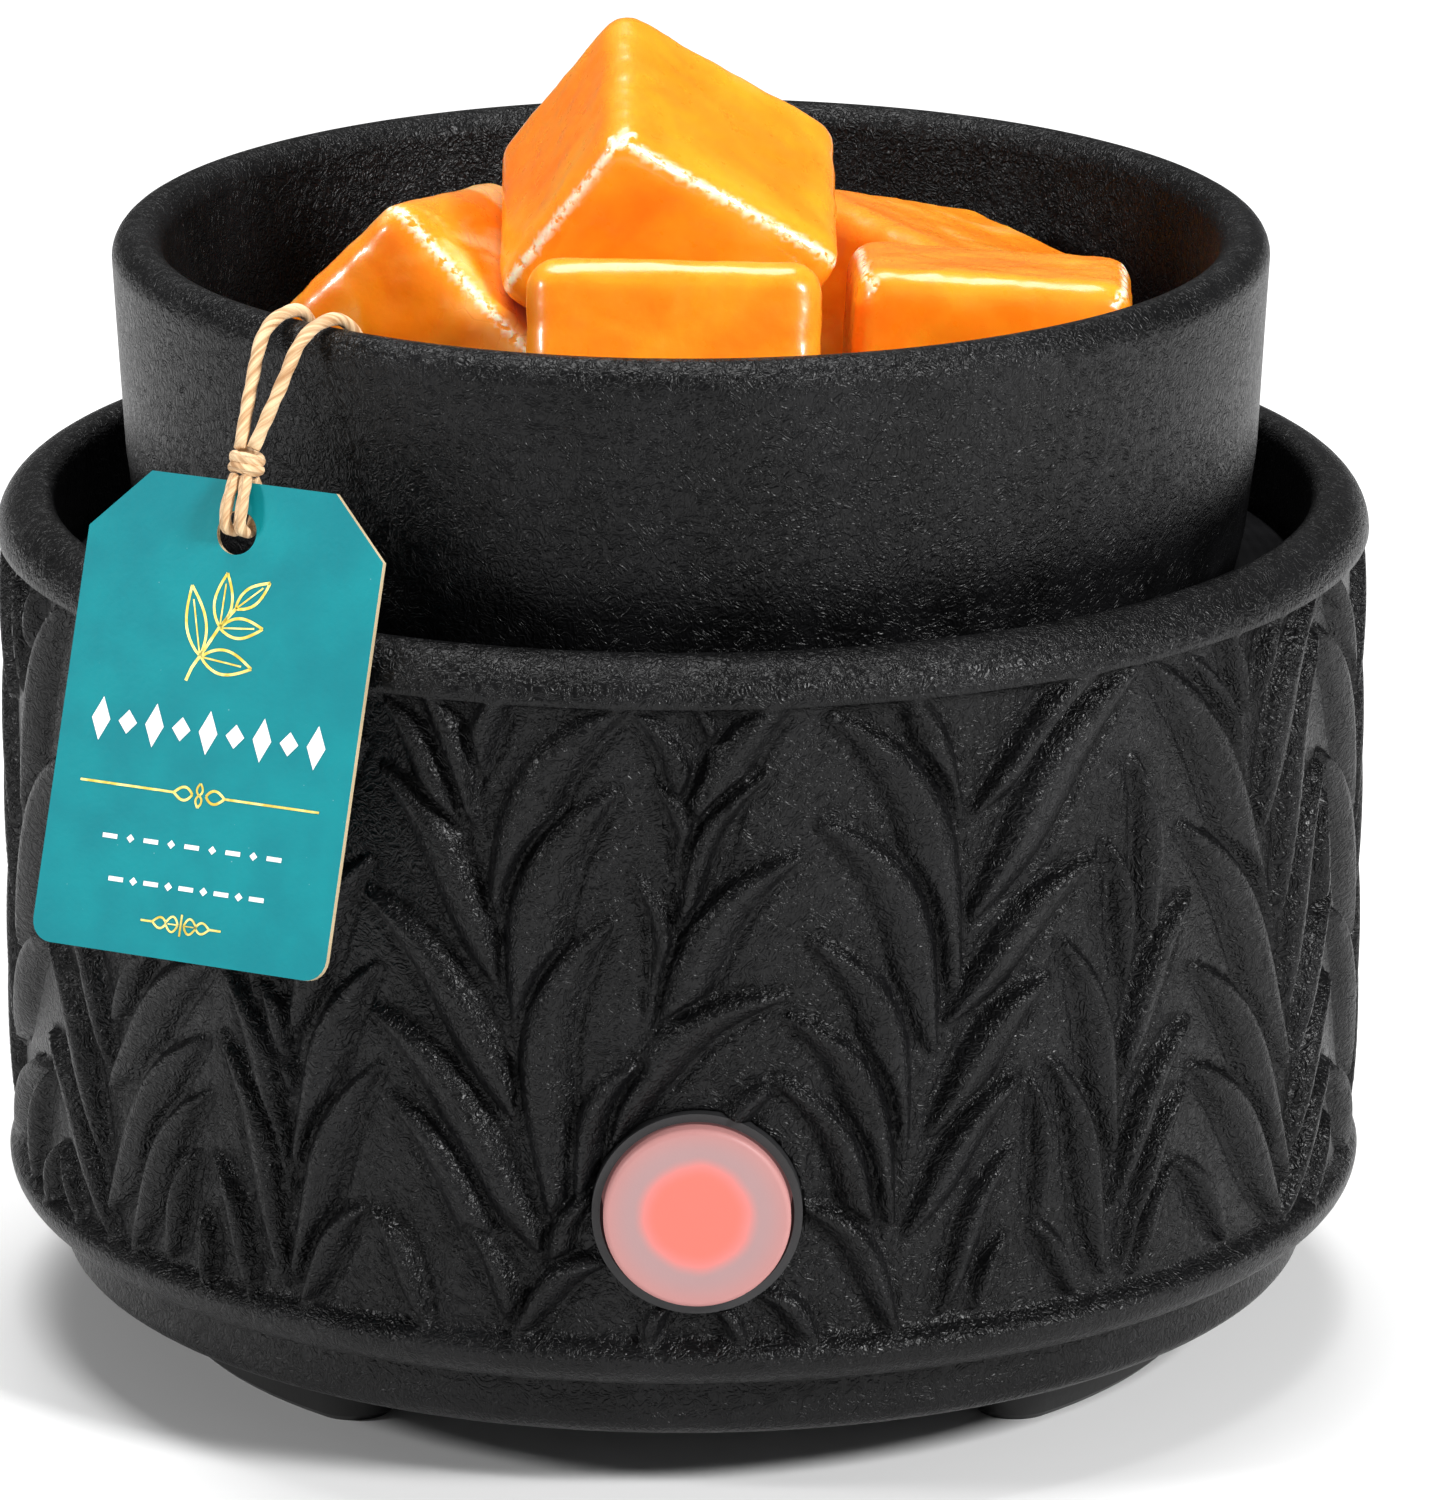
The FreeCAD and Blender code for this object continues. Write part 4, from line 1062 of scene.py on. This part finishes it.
def make_wax():
    clean = wax_finish("orange_wax_clean", 0.15)
    bloomed = wax_finish("orange_wax_bloomed", 0.8)
    rear = wax_finish("orange_wax_rear", 0.5)
    up, front, left, right = (0, 0, 1), (0.1, -1, 0), (-1, -0.3, 0), (1, -0.4, 0)
    right_up, left_up, below = (0.5, -0.3, 0.8), (-0.9, -0.3, 0.3), (0.1, -0.9, -0.4)
    # Each pair of sides names an edge that faces the light, where a pale highlight is painted.
    wax_piece("wax_top", "top_block", clean, [(right_up, below), (left_up, below)])
    wax_piece("wax_front", "wax_pile", clean, [])
    wax_piece("wax_right", "wax_pile", clean, [(left, up), (right, up)])
    wax_piece("wax_left", "wax_pile", bloomed, [(front, up)])
    wax_piece("wax_back", "wax_pile", rear, [])


def make_twine(card):
    places = smooth_line("loop_route", loop_route())
    loop = strand("twine_over_rim", places, TWINE, "dish", ["twine_loop"])
    knot_line = smooth_line("knot_route", knot_route(card.across, card.up, card.out))
    knot = strand("overhand_knot", knot_line, 0.6 * MM, "dish", ["twine_knot"], 3.8 * MM)


def make_tag(card):
    face = card_finish("teal_card", (0.0, 0.20, 0.235), (0.0, 0.26, 0.29))
    core = card_finish("card_core", (0.42, 0.33, 0.2), (0.55, 0.44, 0.28))
    tag_card(card, face, core)
    gold_print(card, foil_finish())
    white_print(card, ink_finish())
    tag_hoops(card)


# ---- studio --------------------------------------------------------------------------------------

def studio():
    """Pale floor, white surroundings and three soft lamps."""
    floor_mesh = bpy.data.meshes.new("studio_floor")
    reach = 3.0
    floor_mesh.from_pydata([(-reach, -reach, 0), (reach, -reach, 0), (reach, reach, 0),
                            (-reach, reach, 0)], [], [(0, 1, 2, 3)])
    pale = Finish("studio_floor_paint", Specular_IOR_Level=0.1)
    tone = pale.blend(pale.grain(0.4, detail=1.0), (0.86, 0.86, 0.86), (0.9, 0.9, 0.9))
    floor_mesh.materials.append(pale.set(Base_Color=tone, Roughness=0.85))
    placed("studio_floor", floor_mesh)
    world = bpy.data.worlds.new("studio_air")
    world.use_nodes = True
    sky = world.node_tree.nodes["Background"].inputs
    sky["Color"].default_value = (1.0, 1.0, 1.0, 1.0)
    sky["Strength"].default_value = 0.12
    bpy.context.scene.world = world
    lamp("key", (0.72, -0.62, 0.62), 0.22, 14.0)
    lamp("side", (-0.95, -0.35, 0.5), 0.15, 5.0)
    lamp("over", (-0.1, 0.25, 1.3), 0.8, 20.0)


def lamp(name, place, size, power):
    light = bpy.data.lights.new(name, "AREA")
    light.shape = "SQUARE"
    light.size = size
    light.energy = power
    holder = placed(name, light)
    holder.location = place
    look(holder, Vector((0.0, 0.0, 0.06)) - Vector(place))


def look(holder, way):
    """Turns a lamp or the camera to point along a direction."""
    holder.rotation_euler = way.to_track_quat("-Z", "Y").to_euler()


def camera():
    """Long lens from 0.92 m in front and above, aimed a little right of the warmer's axis."""
    lens = bpy.data.cameras.new("studio_camera")
    lens.lens = 228.8
    lens.sensor_width = 36.0
    distance, lift = 0.9163, math.radians(16.675)
    holder = placed("studio_camera", lens)
    centre = Vector((0.0, 0.0, 0.055))
    holder.location = centre + Vector((0, -math.cos(lift), math.sin(lift))) * distance
    aim = centre + Vector((3.77 * MM, 0, -0.7 * MM))
    look(holder, aim - holder.location)
    bpy.context.scene.camera = holder


def build():
    camera()
    studio()
    dress_packed_parts()
    leafy_body(crinkle_glaze("crinkle_glaze_body", 0.27))
    glazed_dish(crinkle_glaze("crinkle_glaze_dish", 0.28))
    make_wax()
    card = Card()
    make_twine(card)
    make_tag(card)
    bpy.context.scene.view_settings.view_transform = "Standard"


build()
